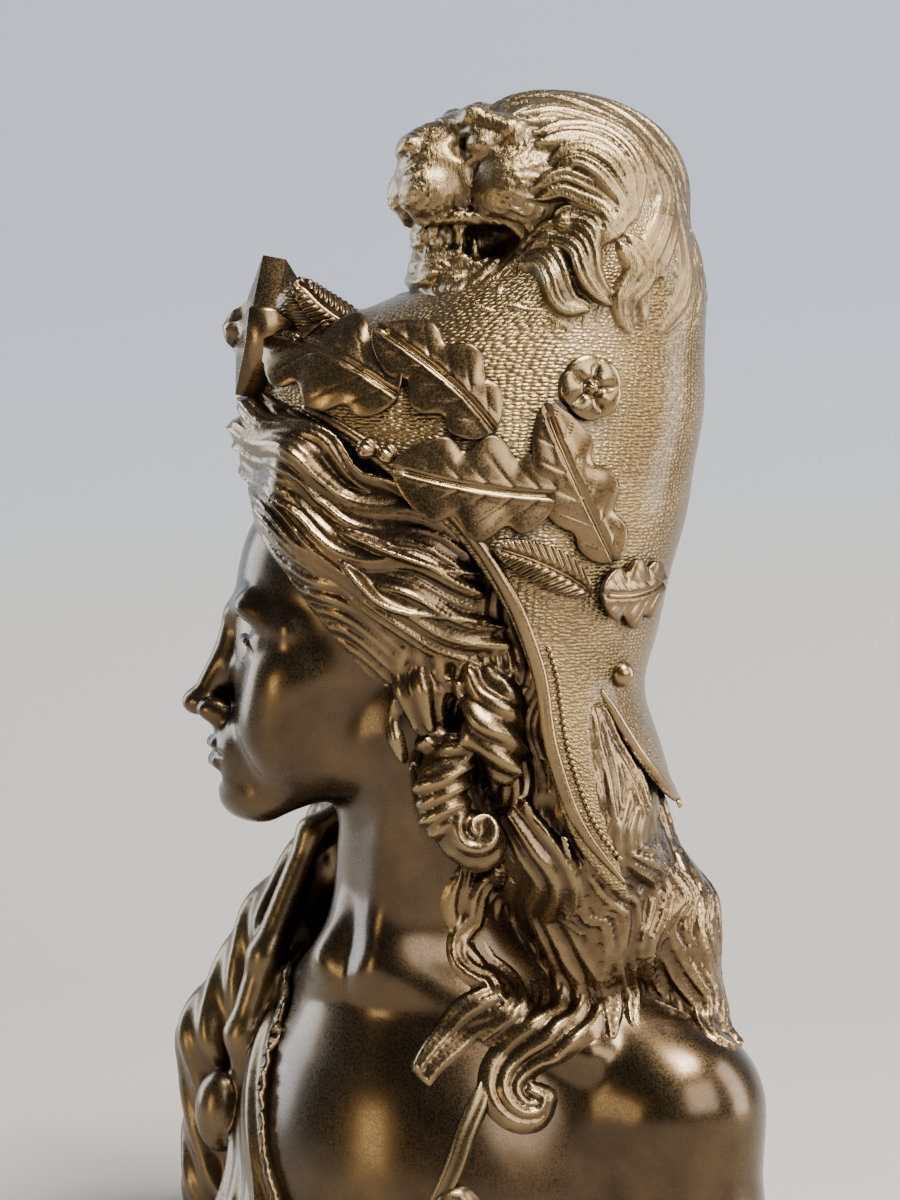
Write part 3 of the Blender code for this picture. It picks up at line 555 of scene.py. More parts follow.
def spiral(centre, start_radius, end_radius, start_angle, turns, count=16):
    """Points (across, up) of a spiral in side view, wound inwards."""
    t = np.linspace(0, 1, count)
    a = math.radians(start_angle) + 2 * math.pi * turns * t
    r = start_radius + (end_radius - start_radius) * t
    return [(centre[0] + math.cos(b) * s, centre[1] + math.sin(b) * s) for b, s in zip(a, r)]


def head_base(q):
    return blend(skull(q), hair_mass(q), 1.0)


def sight(points):
    """Starts and ways of the lines of sight through points (across, up) of the picture."""
    u, v = np.array(points, float).T
    u, v = u - VIEW_MIDDLE @ VIEW_ACROSS, v - VIEW_MIDDLE[2]
    eye = VIEW_MIDDLE + VIEW_BACK * VIEW_DISTANCE
    way = unit(VIEW_ACROSS * u[:, None] + VIEW_UP * v[:, None] - VIEW_BACK * VIEW_DISTANCE)
    return eye + way * (VIEW_DISTANCE - 90), way


def view_path(points, field):
    """Points (across, up) as they are seen in the picture, cast onto a field."""
    starts, ways = sight(points)
    return cast(field, starts, ways)


def side_path(points, field):
    """Points (y, z) of the head's left side, as seen in the picture, cast onto its field."""
    starts, ways = sight(np.array(points, float) + (HEAD_PLACE @ VIEW_ACROSS, HEAD_PLACE[2]))
    return cast(field, to_head(starts), ways @ HEAD_AXES)


def comb(rows, count):
    """count guides spread evenly over rows of control points."""
    rows = np.array(rows, float)
    shares = np.linspace(0, len(rows) - 1, count)
    starts = np.minimum(shares.astype(int), len(rows) - 2)
    return [rows[i] * (1 - share + i) + rows[i + 1] * (share - i) for i, share in zip(starts, shares)]


def carved(field, path, width, height, lines=1, wave=0.0, waves=1.5, phase=0.0, level=0.0,
           root=0.35, tip=0.15, roll=0.18, count=48):
    """A strand carved in relief: its line on the field, with its width and height there."""
    path = smooth_path(path, count)
    normal = slope_at(field, path, 0.6)
    t = np.linspace(0, 1, count)
    swing = 2 * math.pi * (waves * t + phase)
    across = unit(np.cross(np.gradient(path, axis=0), normal))
    path = path + across * (wave * np.sin(swing) * np.minimum(3 * t + 0.2, 1))[:, None]
    along = unit(np.gradient(path, axis=0))
    across = unit(np.cross(along, normal))
    start = root + (1 - root) * np.sin(np.clip(t / 0.2, 0, 1) * math.pi / 2)
    finish = tip + (1 - tip) * np.cos(np.clip((t - 0.55) / 0.45, 0, 1) * math.pi / 2) ** 0.7
    size = start * finish
    crest = height * np.sqrt(size) * (1 - roll + roll * np.cos(swing))
    return path, along, across, width * size, crest, lines, level


def carved_lock(field, path, width, height, strands=3, wave=0.8, waves=1.5, phase=0.0, seed=0,
                narrow=0.6, **more):
    """Carved strands side by side that wave together and draw together at the tip."""
    chance = np.random.default_rng(seed)
    path = smooth_path(path, 30)
    across = unit(np.cross(np.gradient(path, axis=0), slope_at(field, path, 0.6)))
    t = np.linspace(0, 1, 30)
    made = []
    for i in range(strands):
        place = (i - (strands - 1) / 2) / strands
        fan = place * width * (0.75 + 0.35 * np.sin(math.pi * t) - (1 - narrow) * t**3)
        own = path + across * fan[:, None]
        kept = 30 - int(4 * abs(place) * chance.uniform(0.2, 1))
        made.append(carved(field, own[:kept], width / strands * 1.45, height * chance.uniform(0.85, 1.1),
                           wave=wave, waves=waves, phase=phase + chance.uniform(-0.03, 0.03),
                           level=0.2 * height * (i % 2), **more))
    return made


def relief(points, strands, deep=0.30):
    """How far carved strands raise a surface at points."""
    rise = np.zeros(len(points))
    for path, along, across, wide, high, lines, level in strands:
        reach = wide.max() * 0.5 + high.max() + level
        near = np.flatnonzero(((points > path.min(axis=0) - reach)
                               & (points < path.max(axis=0) + reach)).all(axis=1))
        for part in np.array_split(near, max(1, len(near) // 20000)):
            p = points[part]
            i = ((p[:, None] - path) ** 2).sum(axis=-1).argmin(axis=1)
            off = p - path[i]
            side = 2 * (off * across[i]).sum(axis=-1) / wide[i]
            past = 2 * (off * along[i]).sum(axis=-1) / wide[i] * ((i == 0) | (i == len(path) - 1))
            square = np.minimum(side**2 + past**2, 1)
            far = (off**2).sum(axis=-1) > (0.5 * wide[i] + high[i] + level + 0.5) ** 2
            ridge = 0.5 - 0.5 * np.cos(math.pi * (lines + 1) * (side + 1))
            dome = (1 - square) ** 0.7
            value = (level + high[i] * (1 - deep * (1 - ridge))) * dome
            rise[part] = np.maximum(rise[part], np.where(far, 0, value))
    return rise


def noise_at(u, v, seed=0.0):
    """Smooth random values from 0 to 1 over a plane."""
    def corner(a, b):
        return np.modf(np.abs(np.sin(a * 127.1 + b * 311.7 + seed) * 43758.5453))[0]

    i, j = np.floor(u), np.floor(v)
    f, g = u - i, v - j
    f, g = f * f * (3 - 2 * f), g * g * (3 - 2 * g)
    low = corner(i, j) * (1 - f) + corner(i + 1, j) * f
    high = corner(i, j + 1) * (1 - f) + corner(i + 1, j + 1) * f
    return low * (1 - g) + high * g


# Guides of the temple hair in side view, from the brow to the gap inside the lappet
TEMPLE_ROWS = (((-24, 43.5), (-17, 41), (-10, 37.5), (-3, 33), (3, 28.5), (9.5, 23)),
               ((-24.5, 34.5), (-17.5, 29.5), (-10, 25), (-2, 21), (5, 18.5), (14, 15.5)),
               ((-24.7, 30), (-18, 24), (-11, 18.5), (-3, 13.5), (6, 12), (17, 9.5)),
               ((-24.7, 27), (-17.5, 20.5), (-10, 14.5), (-2, 7.5), (8, 5), (20, 2)),
               ((-24.5, 24), (-17, 17), (-9.5, 11), (-3.5, 3.5), (7, -1), (23, -9)))
TEMPLE_STRANDS = 10
# The locks before the ear, in side view: four strands each
FIRST_LOCK = (((4, -3), (3, -9.5), (4, -14), (6, -19)), ((6.5, -3), (6.5, -9.5), (7.5, -14), (9, -19)),
              ((9.5, -3.5), (10, -9.5), (10, -13.5), (10.5, -18)),
              ((2.5, -13), (2, -18.5), (3.5, -24.5)))
SECOND_LOCK = (((15, -7), (17.5, -12), (22, -15), (25, -19)),
               ((18.5, -7), (20, -10.5), (23.5, -13), (25, -15)),
               ((14.5, -12.5), (17, -17), (22, -19.5), (25.5, -23)),
               ((15, -17.5), (18.5, -21.5), (21, -23.5), (24.5, -27)))
RINGLET = ((20.5, 14, -20, 3.4), (20.5, 10.5, -26, 4.2), (20.5, 10.5, -31, 3.9), (20.5, 14, -36, 4.2))


def temple_base(q):
    """The hair's mass with the locks before the ear and the ringlet."""
    m = mirrored(q)
    d = head_base(q)
    d = blend(d, chain(m, ((17.0, 6, -2, 2.6), (18.5, 6.5, -9, 4.2), (18.5, 8.5, -17, 2.9)), 2), 1.0)
    d = blend(d, limb(m, (17.5, 3, -18), (17.5, 5, -23), 2.6, 1.5), 1.0)
    d = blend(d, chain(m, ((20, 16, -7, 3.2), (21.2, 19, -14, 4.4), (21.2, 21.5, -23, 3.6)), 2), 1.0)
    d = blend(d, chain(m, RINGLET, 2), 1.0)
    return blend(d, ellipsoid(m, (21.0, 17.0, -36.5), (4.0, 5.4, 5.4)), 0.8)


def temple_strands():
    chance = np.random.default_rng(4)
    base = sampled(temple_base, (0, -36, -56), (34, 56, 48), 1.2)
    made = []
    for i, guide in enumerate(comb(TEMPLE_ROWS, TEMPLE_STRANDS)):
        path = side_path(guide, base)
        parting = laid_on(base, path[:1] * (0.1, 1, 1) + (0, -1, 0.5))
        made.append(carved(base, np.vstack([parting, path]), 5.4, 2.3 + 0.7 * (i % 2), 2,
                           wave=1.5, waves=2.2, phase=0.62 + 0.09 * i + chance.uniform(-0.05, 0.05),
                           level=0.5 * (i % 3), root=0.5, tip=0.5, roll=0.3, count=72))
        if i % 3 == 1:
            between = side_path(np.array(guide)[2:] + (1.5, -1.4), base)
            made.append(carved(base, between, 2.6, 3.6, 0, wave=0.8, waves=1.2, phase=0.1 * i,
                               level=0.6, root=0.1, tip=0.2))
    for guides, width, height in ((FIRST_LOCK, 4.6, 1.5), (SECOND_LOCK, 5.2, 1.8)):
        for i, guide in enumerate(guides):
            made.append(carved(base, side_path(guide, base), width, height, 0, 0.3, 1, 0.3 * i,
                               level=0.2 * i, root=0.3, tip=0.2, roll=0.1))
    for i in range(7):
        z = -19.5 - 2.7 * i
        y = 11.5 if i < 3 else 10.0 + 0.8 * (i - 3)
        across = ((y - 5.0, z - 2.6), (y - 1.5, z - 0.6), (y + 2.5, z + 0.6), (y + 6.5, z + 2.8))
        made.append(carved(base, side_path(across, base), 3.4, 1.0 + 0.3 * (i % 2), 0, wave=0.3,
                           phase=0.2 * i, root=0.3, tip=0.3, roll=0))
    curl = side_path(spiral((17.4, -36.8), 4.6, 1.0, 120, 1.25, 20), base)
    made.append(carved(base, curl, 3.4, 1.5, 0, root=0.4, tip=0.5, roll=0, count=64))
    return made


def engraved(across, down, mass):
    """Fine strands on a mass of hair where no lock lies."""
    lines = np.abs(np.sin(1.4 * (across + 1.2 * np.sin(0.3 * down))))
    return np.where(mass < 1.0, 0.35 + 0.6 * lines, 0)


def temple_hair():
    """Waved strands over the temple, the curls before the ear and the ringlet below it."""
    strands = temple_strands()

    def hair(q):
        edge = (q[:, 1] - curve_value(q[:, 2], CAP_EDGE) - 4) * 0.8
        hidden = np.maximum(edge, -24.0 - q[:, 1] - 12.0)
        m = mirrored(q)
        y, z = q[:, 1], q[:, 2]
        ahead = y < 6
        mass = np.where(z > -22, hair_mass(q), 5.0)
        fine = engraved(np.where(ahead, 0.5 * y + 0.87 * z, y), np.where(ahead, y, z), mass)
        locks = np.maximum(relief(m, strands), fine)
        d = temple_base(q) + 0.3 - locks
        return blend_max(d, hidden, 0.5)

    return [carved_skin(in_head(hair), (-32, -56, 70), (44, 16, 176), 0.44)]


NAPE = np.array((22.0, -2.0, 98.0))
FALL_ROWS = (((38, 10, 99), (44, 20, 76), (45, 21, 54)),
             ((36, 14, 98), (38, 25, 74), (35, 26, 50)),
             ((28, 18, 98), (26, 28, 72), (22, 28, 45)),
             ((20, 18, 96), (14, 28, 70), (8, 29, 42)),
             ((12, 14, 95), (2, 25, 70), (-6, 28, 44)),
             ((7, 8, 95), (-8, 20, 71), (-19, 25, 48)),
             ((3, 2, 95), (-13, 12, 74), (-27, 18, 57)))


def fallen_base(p):
    q = to_head(p)
    hair = blend(hair_fall(p), hair_mass(q), 8)
    return blend(blend(blend(torso(p), neck(p), 8), hair, 2.5), skull(q), 1.0)


# Locks seen from the left front (across, up), each with width, relief and strands
HOOK = ((9, 91), (12.5, 85.5), (16.5, 79.5), (16.5, 75.5), (15.5, 72.5), (17.5, 67.5), (20.5, 61.5),
        (21, 57), (19, 53), (12.5, 49), (8.5, 45.5), (6.5, 41.5), (8.5, 37.5), (12, 36.5), (14, 39),
        (11.5, 40.5))
SHOULDER_LOCKS = (
    (((7.5, 80), (3, 72.5), (0, 67), (1.5, 63), (5.5, 60), (7, 56.5), (1, 54), (-2.5, 50.5),
      (-7, 45.5), (-9.5, 39.5)), 6.8, 3.0, 2),
    (((0, 81), (-1.5, 74.5), (0, 69), (3.5, 64.5), (7.5, 59), (8, 53.5), (3, 49)), 4.6, 2.2, 2),
    (((11, 82), (9, 74), (11, 66), (14, 58), (11, 52)), 5.0, 1.2, 3),
    (((15, 80), (13, 71), (14, 63), (16, 56)), 3.6, 1.0, 2),
    (((20, 80), (21.5, 73.5), (25, 71.5), (26, 66), (25, 61.5), (26, 55), (26.5, 50)), 6.0, 3.0, 3),
    (((22.5, 82), (26, 77), (29.5, 74.5), (30, 70), (28.5, 65), (30, 58), (31, 52)), 4.4, 2.6, 2),
    (((29.5, 84), (34, 81.5), (36, 77), (35, 72.5), (33, 68), (33.5, 63.5), (35.5, 58)), 5.2, 3.2, 3),
    (((34.5, 84), (39.5, 76), (37, 70.5), (39.5, 64), (43.5, 57), (45.5, 50.5), (49, 48)), 6.0, 3.4, 3),
    (((22, 112), (24.5, 102), (26, 94), (28, 84)), 5.0, 1.8, 3),
    (((23.5, 112), (28.5, 102), (32, 94), (34, 84)), 5.0, 2.2, 3),
    (((26, 108), (34, 99), (38, 91), (40, 82)), 5.0, 2.4, 3),
    (((37.5, 86), (42, 78), (41.5, 71), (43.5, 64.5), (45.5, 59), (48, 53.5), (51, 49)), 5.5, 3.0, 3),
    (((40, 90), (44, 80), (45, 72), (46.5, 65), (48.5, 58), (51.5, 52)), 5.5, 3.0, 3))
FALL_STRANDS = 25


def fallen_strands():
    base = sampled(fallen_base, (-50, -60, 24), (64, 44, 130), 1.4)
    made = []
    roots = []
    for guide in FALL_ROWS:
        guide = np.array(guide, float)
        root = guide[0] + (NAPE - guide[0]) * (0.15, 0.15, 0) + (0, 0, 14)
        roots.append(np.vstack([root, guide]))
    chance = np.random.default_rng(12)
    for i, guide in enumerate(comb(roots, FALL_STRANDS)):
        path = laid_on(base, smooth_path(guide, 14), 12)
        path = path[: 14 - int(chance.integers(0, 4))]
        made.append(carved(base, path, 6.0, 1.7 + 0.6 * (i % 2), 2, wave=1.3, waves=2.1,
                           phase=0.11 * i + 0.2 * (i % 2), level=0.45 * (i % 3), root=0.9, roll=0.2,
                           count=64))
    for i, (guide, width, height, strands) in enumerate(SHOULDER_LOCKS):
        made += carved_lock(base, view_path(guide, base), width * 1.2, height * 0.75, strands, 0.25, 2,
                            0.1 * i, 30 + i, lines=1 if width > 5.1 else 0)
    made += carved_lock(base, view_path(HOOK, base), 10.4, 2.6, 3, 0.0, 1, 0, 5, lines=0, root=0.7,
                        narrow=0.55, tip=0.5, count=90)
    return made


def fallen_hair():
    """Locks beside the neck, on the left shoulder and down the back."""
    strands = fallen_strands()

    def hair(p):
        mass = np.minimum(hair_fall(p), hair_mass(to_head(p)))
        locks = np.maximum(relief(p, strands), engraved(p @ VIEW_ACROSS, p[:, 2], mass))
        region = limb(p, (12, 0, 100), (20, 4, 60), 42, 40)
        return blend_max(fallen_base(p) + 0.3 - locks, np.maximum(region, p[:, 2] - 117), 0.5)

    return [carved_skin(hair, (-36, -48, 20), (66, 44, 119), 0.48)]


# Tufts of the mane in side view of the head, each with its width, relief and strands
MANE = ((((24, 92.5), (31, 94), (40, 91), (47, 85), (50, 78)), 7.5, 1.6, 3),
        (((27, 88.5), (34, 89.5), (41, 87), (45.5, 81), (45, 74)), 5.5, 2.4, 2),
        (((30, 83), (35, 85), (41, 82.5), (44, 77), (41.5, 72.5)), 5.4, 2.6, 2),
        (((27, 78.5), (33.5, 80.5), (39, 78), (41.5, 73.5), (39, 70)), 5.0, 2.4, 2),
        (((31, 73.5), (35, 75), (38, 72.5), (39.5, 68.5)), 4.6, 2.2, 2),
        (((27, 70), (31, 71.5), (35.5, 69), (37.5, 64), (41.5, 59)), 5.2, 2.8, 2),
        (((24.5, 66), (28.5, 66.5), (31.5, 63.5), (33.5, 59), (37, 57.5)), 5.4, 2.8, 2),
        (((47, 86), (51, 78), (50.5, 70), (46, 63), (46.5, 55)), 6.5, 1.5, 3),
        (((52, 80), (54.5, 70), (54, 61), (50, 53)), 6.5, 1.2, 3),
        (((43, 71), (46.5, 66), (43.5, 60), (45, 54)), 5.5, 1.9, 2),
        (((54, 86), (57, 77), (58, 67), (56.5, 57)), 6.0, 1.1, 3))


def crown_base(q):
    return blend(cap_skin(q) + 0.35, lion(to_lion(q)), 2.5)


def fur(q):
    """Fine strokes of fur that run back from the muzzle over the cheek and the brow."""
    y, z = q[:, 1] + 13, q[:, 2] - 6
    run = np.hypot(y, z)
    turn = np.arctan2(z, y) + 0.25 * np.sin(run * 0.35)
    strokes = noise_at(turn * 17 + 0.3 * run, run * 0.55) + 0.5 * noise_at(turn * 31, run * 0.9, 5.0)
    bare = np.clip((run - 4) / 5, 0.1, 1) * np.where(z > 4, 0.7, 1)
    return 1.1 * np.abs(strokes - 0.75) * bare


def lion_head():
    """The lion's head with its fur and mane, grown out of the cap."""
    base = sampled(crown_base, (-30, 0, 42), (36, 66, 102), 1.0)
    strands = []
    for i, (guide, width, height, count) in enumerate(MANE):
        strands += carved_lock(base, side_path(guide, base), width, height, count, 0.6, 1.3,
                               0.23 * i, 60 + i, root=0.1, tip=0.25, lines=1, roll=0.2)
    for i, x in enumerate((1.5, 5, 8.5)):
        guide = ((x * 0.6, 20, 100), (x * 0.9, 34, 98), (x * 1.1, 46, 92), (x * 1.2, 54, 82),
                 (x, 57, 70), (x * 0.9, 58, 58))
        path = laid_on(base, smooth_path(guide, 14), 10)
        strands += carved_lock(base, path, 4.6, 1.1, 3, 0.8, 2.0, 0.3 * i, 70 + i, lines=0)

    def head(q):
        l = to_lion(q)
        raised = relief(mirrored(q), strands)
        d = crown_base(q) - raised - fur(mirrored(l)) * (raised < 0.2)
        region = ellipsoid(q, (0, 34, 76), (34, 34, 30))
        return blend_max(d, region, 0.5)

    return [carved_skin(in_head(head), (-36, -62, 170), (66, 30, 226), 0.38)]


# Wreath and ornaments


CAP_BASE = sampled(cap_skin, (-4, -34, -52), (38, 66, 98), 1.5)


def cap_points(pairs):
    return side_path(pairs, CAP_BASE)


OAK_LEAVES = (((20, 35.5), (-0.5, 52.5), 1.6, 27, 15), ((3.5, 41.5), (-22, 51), 4.0, 28, 16.5),
              ((30, 24), (3.5, 28.5), 1.8, 28, 18.5), ((41, 12.5), (29, 39.5), 1.4, 30, 13.5),
              ((51, 9), (35.5, 6), 1.2, 17, 12.5))
SMALL_LEAVES = (((-3, 53), (-16.5, 61.5), 0.5, 16, 6.5), ((37, 6.5), (19.5, 14.5), 0.8, 19, 7))


def leaf(stem, tip, lift, length, width, lobed, seed, base=CAP_BASE):
    """A leaf laid on the cap: lobed outline, midrib, side veins, turned-up wavy edge."""
    chance = np.random.default_rng(seed)
    a, b = side_path((stem, tip), base)
    along = (b - a) / np.linalg.norm(b - a)
    middle = (a + b) / 2
    normal = slope_at(base, middle[None])[0]
    across = np.cross(normal, along)
    u, v = np.meshgrid(np.linspace(0, 1, 72), np.linspace(-1, 1, 45), indexing="ij")
    outline = np.sin(math.pi * np.clip(u, 0, 1) ** 0.85) ** 0.55
    lobe = np.ones_like(u)
    if lobed:
        lean = np.where(v > 0, chance.uniform(-0.05, 0.05), chance.uniform(-0.05, 0.05))
        for notch, depth in ((0.30, 0.30), (0.62, 0.34)):
            lobe = lobe - depth * np.exp(-(((u - notch - lean) / 0.075) ** 2))
    half = width / 2 * np.clip(outline * lobe, 0.05, 1.2)
    bend = 0.06 * length * np.sin(math.pi * u) * chance.uniform(-1, 1)
    flat = middle + along * ((u - 0.5) * length)[..., None] + across * (v * half + bend)[..., None]
    top = laid_on(base, flat.reshape(-1, 3)).reshape(flat.shape)
    rise = slope_at(base, top.reshape(-1, 3)).reshape(flat.shape)
    off = np.abs(v) * half
    height = 1.3 + lift * u**2 - 0.5 * np.abs(v) ** 4
    if lobed:
        curl = chance.uniform(0.6, 1.6) * (v < 0) + chance.uniform(0.1, 0.9) * (v > 0)
        height += (lobe - 0.75) * 2.6 * np.abs(v) ** 1.5 * curl
        spacing = length * 0.16
        vein = np.abs(((u * length - off * 1.1) / spacing) % 1 - 0.5) * spacing
        height -= 0.22 * np.exp(-((vein / 0.3) ** 2)) * (off > 1.0) * (1 - np.abs(v))
    else:
        spacing = length / 13
        vein = np.abs(((u * length - off * 0.9) / spacing) % 1 - 0.5) * spacing
        height += 0.6 * (np.exp(-((vein / 0.4) ** 2)) - 0.4) * (off > 0.6)
    height += 0.2 * np.exp(-(((off - 1.0) / 0.6) ** 2)) - 0.55 * np.exp(-((off / 0.4) ** 2)) * (u < 0.92)
    raised = top + rise * height[..., None]
    under = top + rise * (height - 0.9 - 0.5 * (1 - np.abs(v)))[..., None]
    return plate(raised, under)


def wreath():
    made = [leaf(*place, True, i) for i, place in enumerate(OAK_LEAVES)]
    made += [leaf(*SMALL_LEAVES[0], False, 10, brow_pad), leaf(*SMALL_LEAVES[1], False, 11)]
    return placed(made + flipped(made), from_head)


def upright(centre, sides):
    """The cap's normal at a point of it, and a circle of unit vectors square to that."""
    normal = slope_at(CAP_BASE, centre[None])[0]
    across = unit(np.cross(normal, (0, 0, 1)))
    up = np.cross(across, normal)
    a = np.linspace(0, 2 * math.pi, sides, endpoint=False)
    return normal, np.cos(a)[:, None] * across + np.sin(a)[:, None] * up


def round_ornament(centre, radius, height, petals, deep, rings=18, sides=90):
    """A round ornament on the cap, its face divided into petals."""
    middle = cap_points((centre,))[0]
    normal, round_it = upright(middle, sides)
    a = np.linspace(0, 2 * math.pi, sides, endpoint=False)
    made = [middle + round_it * radius - normal * 2]
    for r in np.linspace(1, 0.02, rings):
        petal = np.abs(np.cos(petals * a / 2)) ** 0.6 if petals else np.ones(sides)
        edge = 1 - deep * 0.1 * (1 - petal) * r
        groove = deep * (1 - petal) * math.exp(-(((r - 0.5) / 0.32) ** 2))
        rise = height * (1 - 0.45 * r**5) * (1 - 0.6 * groove)
        if petals:
            eye = 0.3 * math.exp(-((r / 0.16) ** 2))
            rise += height * (eye - 0.35 * math.exp(-(((r - 0.26) / 0.07) ** 2)))
        else:
            rise = height * np.sqrt(max(1 - 0.96 * r * r, 0)) * np.ones(sides)
        made.append(middle + round_it * (radius * r * edge)[:, None] + normal * rise[:, None])
    return tube(np.stack(made))


def bud(centre, way, length, radius):
    """A small fluted bud lying on the cap."""
    a, b = cap_points((centre, (centre[0] + way[0], centre[1] + way[1])))
    along = (b - a) / np.linalg.norm(b - a)
    normal = slope_at(CAP_BASE, a[None])[0]
    side = np.cross(along, normal)
    t = np.linspace(0, 1, 24)
    angle = np.linspace(0, 2 * math.pi, 40, endpoint=False)
    flute = 1 + 0.12 * np.cos(8 * angle)
    swell = radius * np.maximum(np.sin(math.pi * np.clip(t * 0.96 + 0.02, 0, 1)), 0.05) ** 0.6
    line = a + along * (t * length)[:, None] + normal * 1.2
    ring = np.cos(angle)[:, None] * side + np.sin(angle)[:, None] * normal
    return tube(line[:, None] + ring[None] * (swell[:, None] * flute[None])[..., None])


STAR_RADIUS = 14.0
STAR_INNER_RADIUS = 6.2
STAR_LEAN = 10.5
STAR_PLACE = (0, -24.2, 53.5)


def star():
    """The faceted five-pointed star above the brow."""
    tilt = math.radians(STAR_LEAN)
    forward = np.array((0, -math.cos(tilt), math.sin(tilt)))
    up = np.array((0, math.sin(tilt), math.cos(tilt)))
    centre = np.array(STAR_PLACE)
    corners = []
    for i in range(10):
        a = math.pi * i / 5
        r = STAR_INNER_RADIUS if i % 2 else STAR_RADIUS
        corners.append(np.array((math.sin(a), 0, 0)) * r + up * math.cos(a) * r)
    corners = np.array(corners)
    rings = [centre + corners * 0.7 - forward * 8, centre + corners - forward * 4.2,
             centre + corners * 1.0]
    for share in (0.97, 0.8, 0.6, 0.42, 0.30, 0.24, 0.16, 0.02):
        boss = 2.6 * math.sqrt(max(1 - (share / 0.31) ** 2, 0))
        rings.append(centre + corners * share + forward * (2.4 * (1 - share) + boss))
    return placed([tube(np.stack(rings))], from_head)


def edge_line(stations, low, high, inset, count):
    zs = np.linspace(low, high, count)
    return cap_points(list(zip(curve_value(zs, stations) + inset, zs)))


def rims():
    """The raised rims of the lappets and the nape flap, and the rows of beads inside them."""
    made = [strand(CAP_BASE, edge_line(CAP_EDGE, -46.5, 40, 1.5, 40), 2.9, 1.1, 0, 0.3, 0.6, 140, 16)]
    ys = np.linspace(39.5, 55, 20)
    nape = cap_points([(y, curve_value(np.array([y]), NAPE_EDGE)[0] + 1.3) for y in ys])
    made.append(strand(CAP_BASE, nape, 2.4, 0.9, 0, 0.5, 0.6, 80, 16))
    for centre in smooth_path(edge_line(CAP_EDGE, -42, -4, 4.3, 24), 34):
        normal, ring = upright(centre, 12)
        made.append(tube(np.stack([centre + ring * 0.55 * math.cos(b) + normal * 0.75 * math.sin(b)
                                   for b in np.linspace(-0.6, 1.5, 8)])))
    return placed(made + flipped(made), from_head)


def ornaments():
    made = [round_ornament((37.4, 43.4), 5.8, 1.7, 5, 0.9)]
    made.append(round_ornament((43.0, -8.5), 2.4, 2.6, 0, 0, 12, 32))
    made.append(bud((-4.5, 33.0), (4, -1.5), 3.8, 1.7))
    made.append(bud((-0.5, 32.6), (3.2, -2.6), 3.8, 1.7))
    return placed(made + flipped(made), from_head)


def strap():
    guide = ((4, 44), (2.5, 39), (0, 33), (-2, 27), (-5, 20), (-7, 15))
    base = sampled(torso, (-6, -60, 6), (62, 10, 66), 1.6)
    path = view_path(guide, base)
    return [strand(base, path, 4.2, 1.5, 1, 0.2, 0.9, 90, 26, 0.3)]


# Bronze


def crest_of(points, tris):
    """How much each point stands out of its surroundings, from -1 in a groove to 1 on a crest."""
    pairs, _ = edges_of(tris)
    corner = points[tris]
    face = np.cross(corner[:, 1] - corner[:, 0], corner[:, 2] - corner[:, 0])
    normal = np.zeros_like(points)
    for k in range(3):
        for axis in range(3):
            normal[:, axis] += np.bincount(tris[:, k], face[:, axis], minlength=len(points))
    total = gathered(pairs, np.column_stack([points, np.ones(len(points))]))
    count = np.maximum(total[:, 3:], 1)
    length = np.linalg.norm(points[pairs[:, 0]] - points[pairs[:, 1]], axis=-1)
    scale = sum(np.bincount(side, length, minlength=len(points)) for side in pairs.T)
    scale = np.maximum(scale / count[:, 0], 1e-6)
    out = -np.sum((total[:, :3] / count - points) * unit(normal), axis=-1) / scale**2
    value = wide = np.clip(out, -3, 3)[:, None]
    for turn in range(9):
        wide = 0.4 * wide + 0.6 * gathered(pairs, wide) / count
        if turn == 2:
            value = wide
    return np.tanh(0.9 * value + 2.0 * wide)[:, 0]


class Tree:
    """Short calls for building one material's nodes."""

    def __init__(self, name):
        self.material = bpy.data.materials.new(name)
        self.material.use_nodes = True
        self.nodes = self.material.node_tree.nodes
        self.links = self.material.node_tree.links
        self.shader = self.nodes["Principled BSDF"]

    def node(self, kind, **values):
        made = self.nodes.new(kind)
        for key, value in values.items():
            if hasattr(made, key):
                setattr(made, key, value)
            else:
                self.put(made.inputs[key.replace("_", " ")], value)
        return made

    def put(self, socket, value):
        if isinstance(value, bpy.types.NodeSocket):
            self.links.new(value, socket)
        else:
            socket.default_value = value

    def noise(self, scale, detail=4.0, rough=0.55, at=None):
        made = self.node("ShaderNodeTexNoise", Scale=scale, Detail=detail, Roughness=rough)
        self.links.new(at or self.coord(), made.inputs["Vector"])
        return made.outputs["Fac"]

    def coord(self):
        return self.node("ShaderNodeTexCoord").outputs["Object"]

    def ramp(self, fac, low, high, out_low=0.0, out_high=1.0):
        made = self.node("ShaderNodeMapRange", clamp=True)
        made.interpolation_type = "SMOOTHSTEP"
        for key, value in (("Value", fac), ("From Min", low), ("From Max", high),
                           ("To Min", out_low), ("To Max", out_high)):
            self.put(made.inputs[key], value)
        return made.outputs["Result"]

    def mix(self, fac, a, b):
        made = self.node("ShaderNodeMix", data_type="RGBA")
        for place, value in (("Factor", fac), (6, a), (7, b)):
            self.put(made.inputs[place], value)
        return made.outputs[2]

    def math(self, how, a, b):
        made = self.node("ShaderNodeMath", operation=how)
        self.put(made.inputs[0], a)
        self.put(made.inputs[1], b)
        return made.outputs[0]

    def plus(self, a, b, share):
        return self.math("ADD", a, self.math("MULTIPLY", b, share))


DARK = (0.012, 0.008, 0.005, 1)
GOLD = (0.580, 0.425, 0.205, 1)
FINE_RELIEF = 0.00012
COARSE_RELIEF = 0.0003
RECESS_REACH = 0.0035


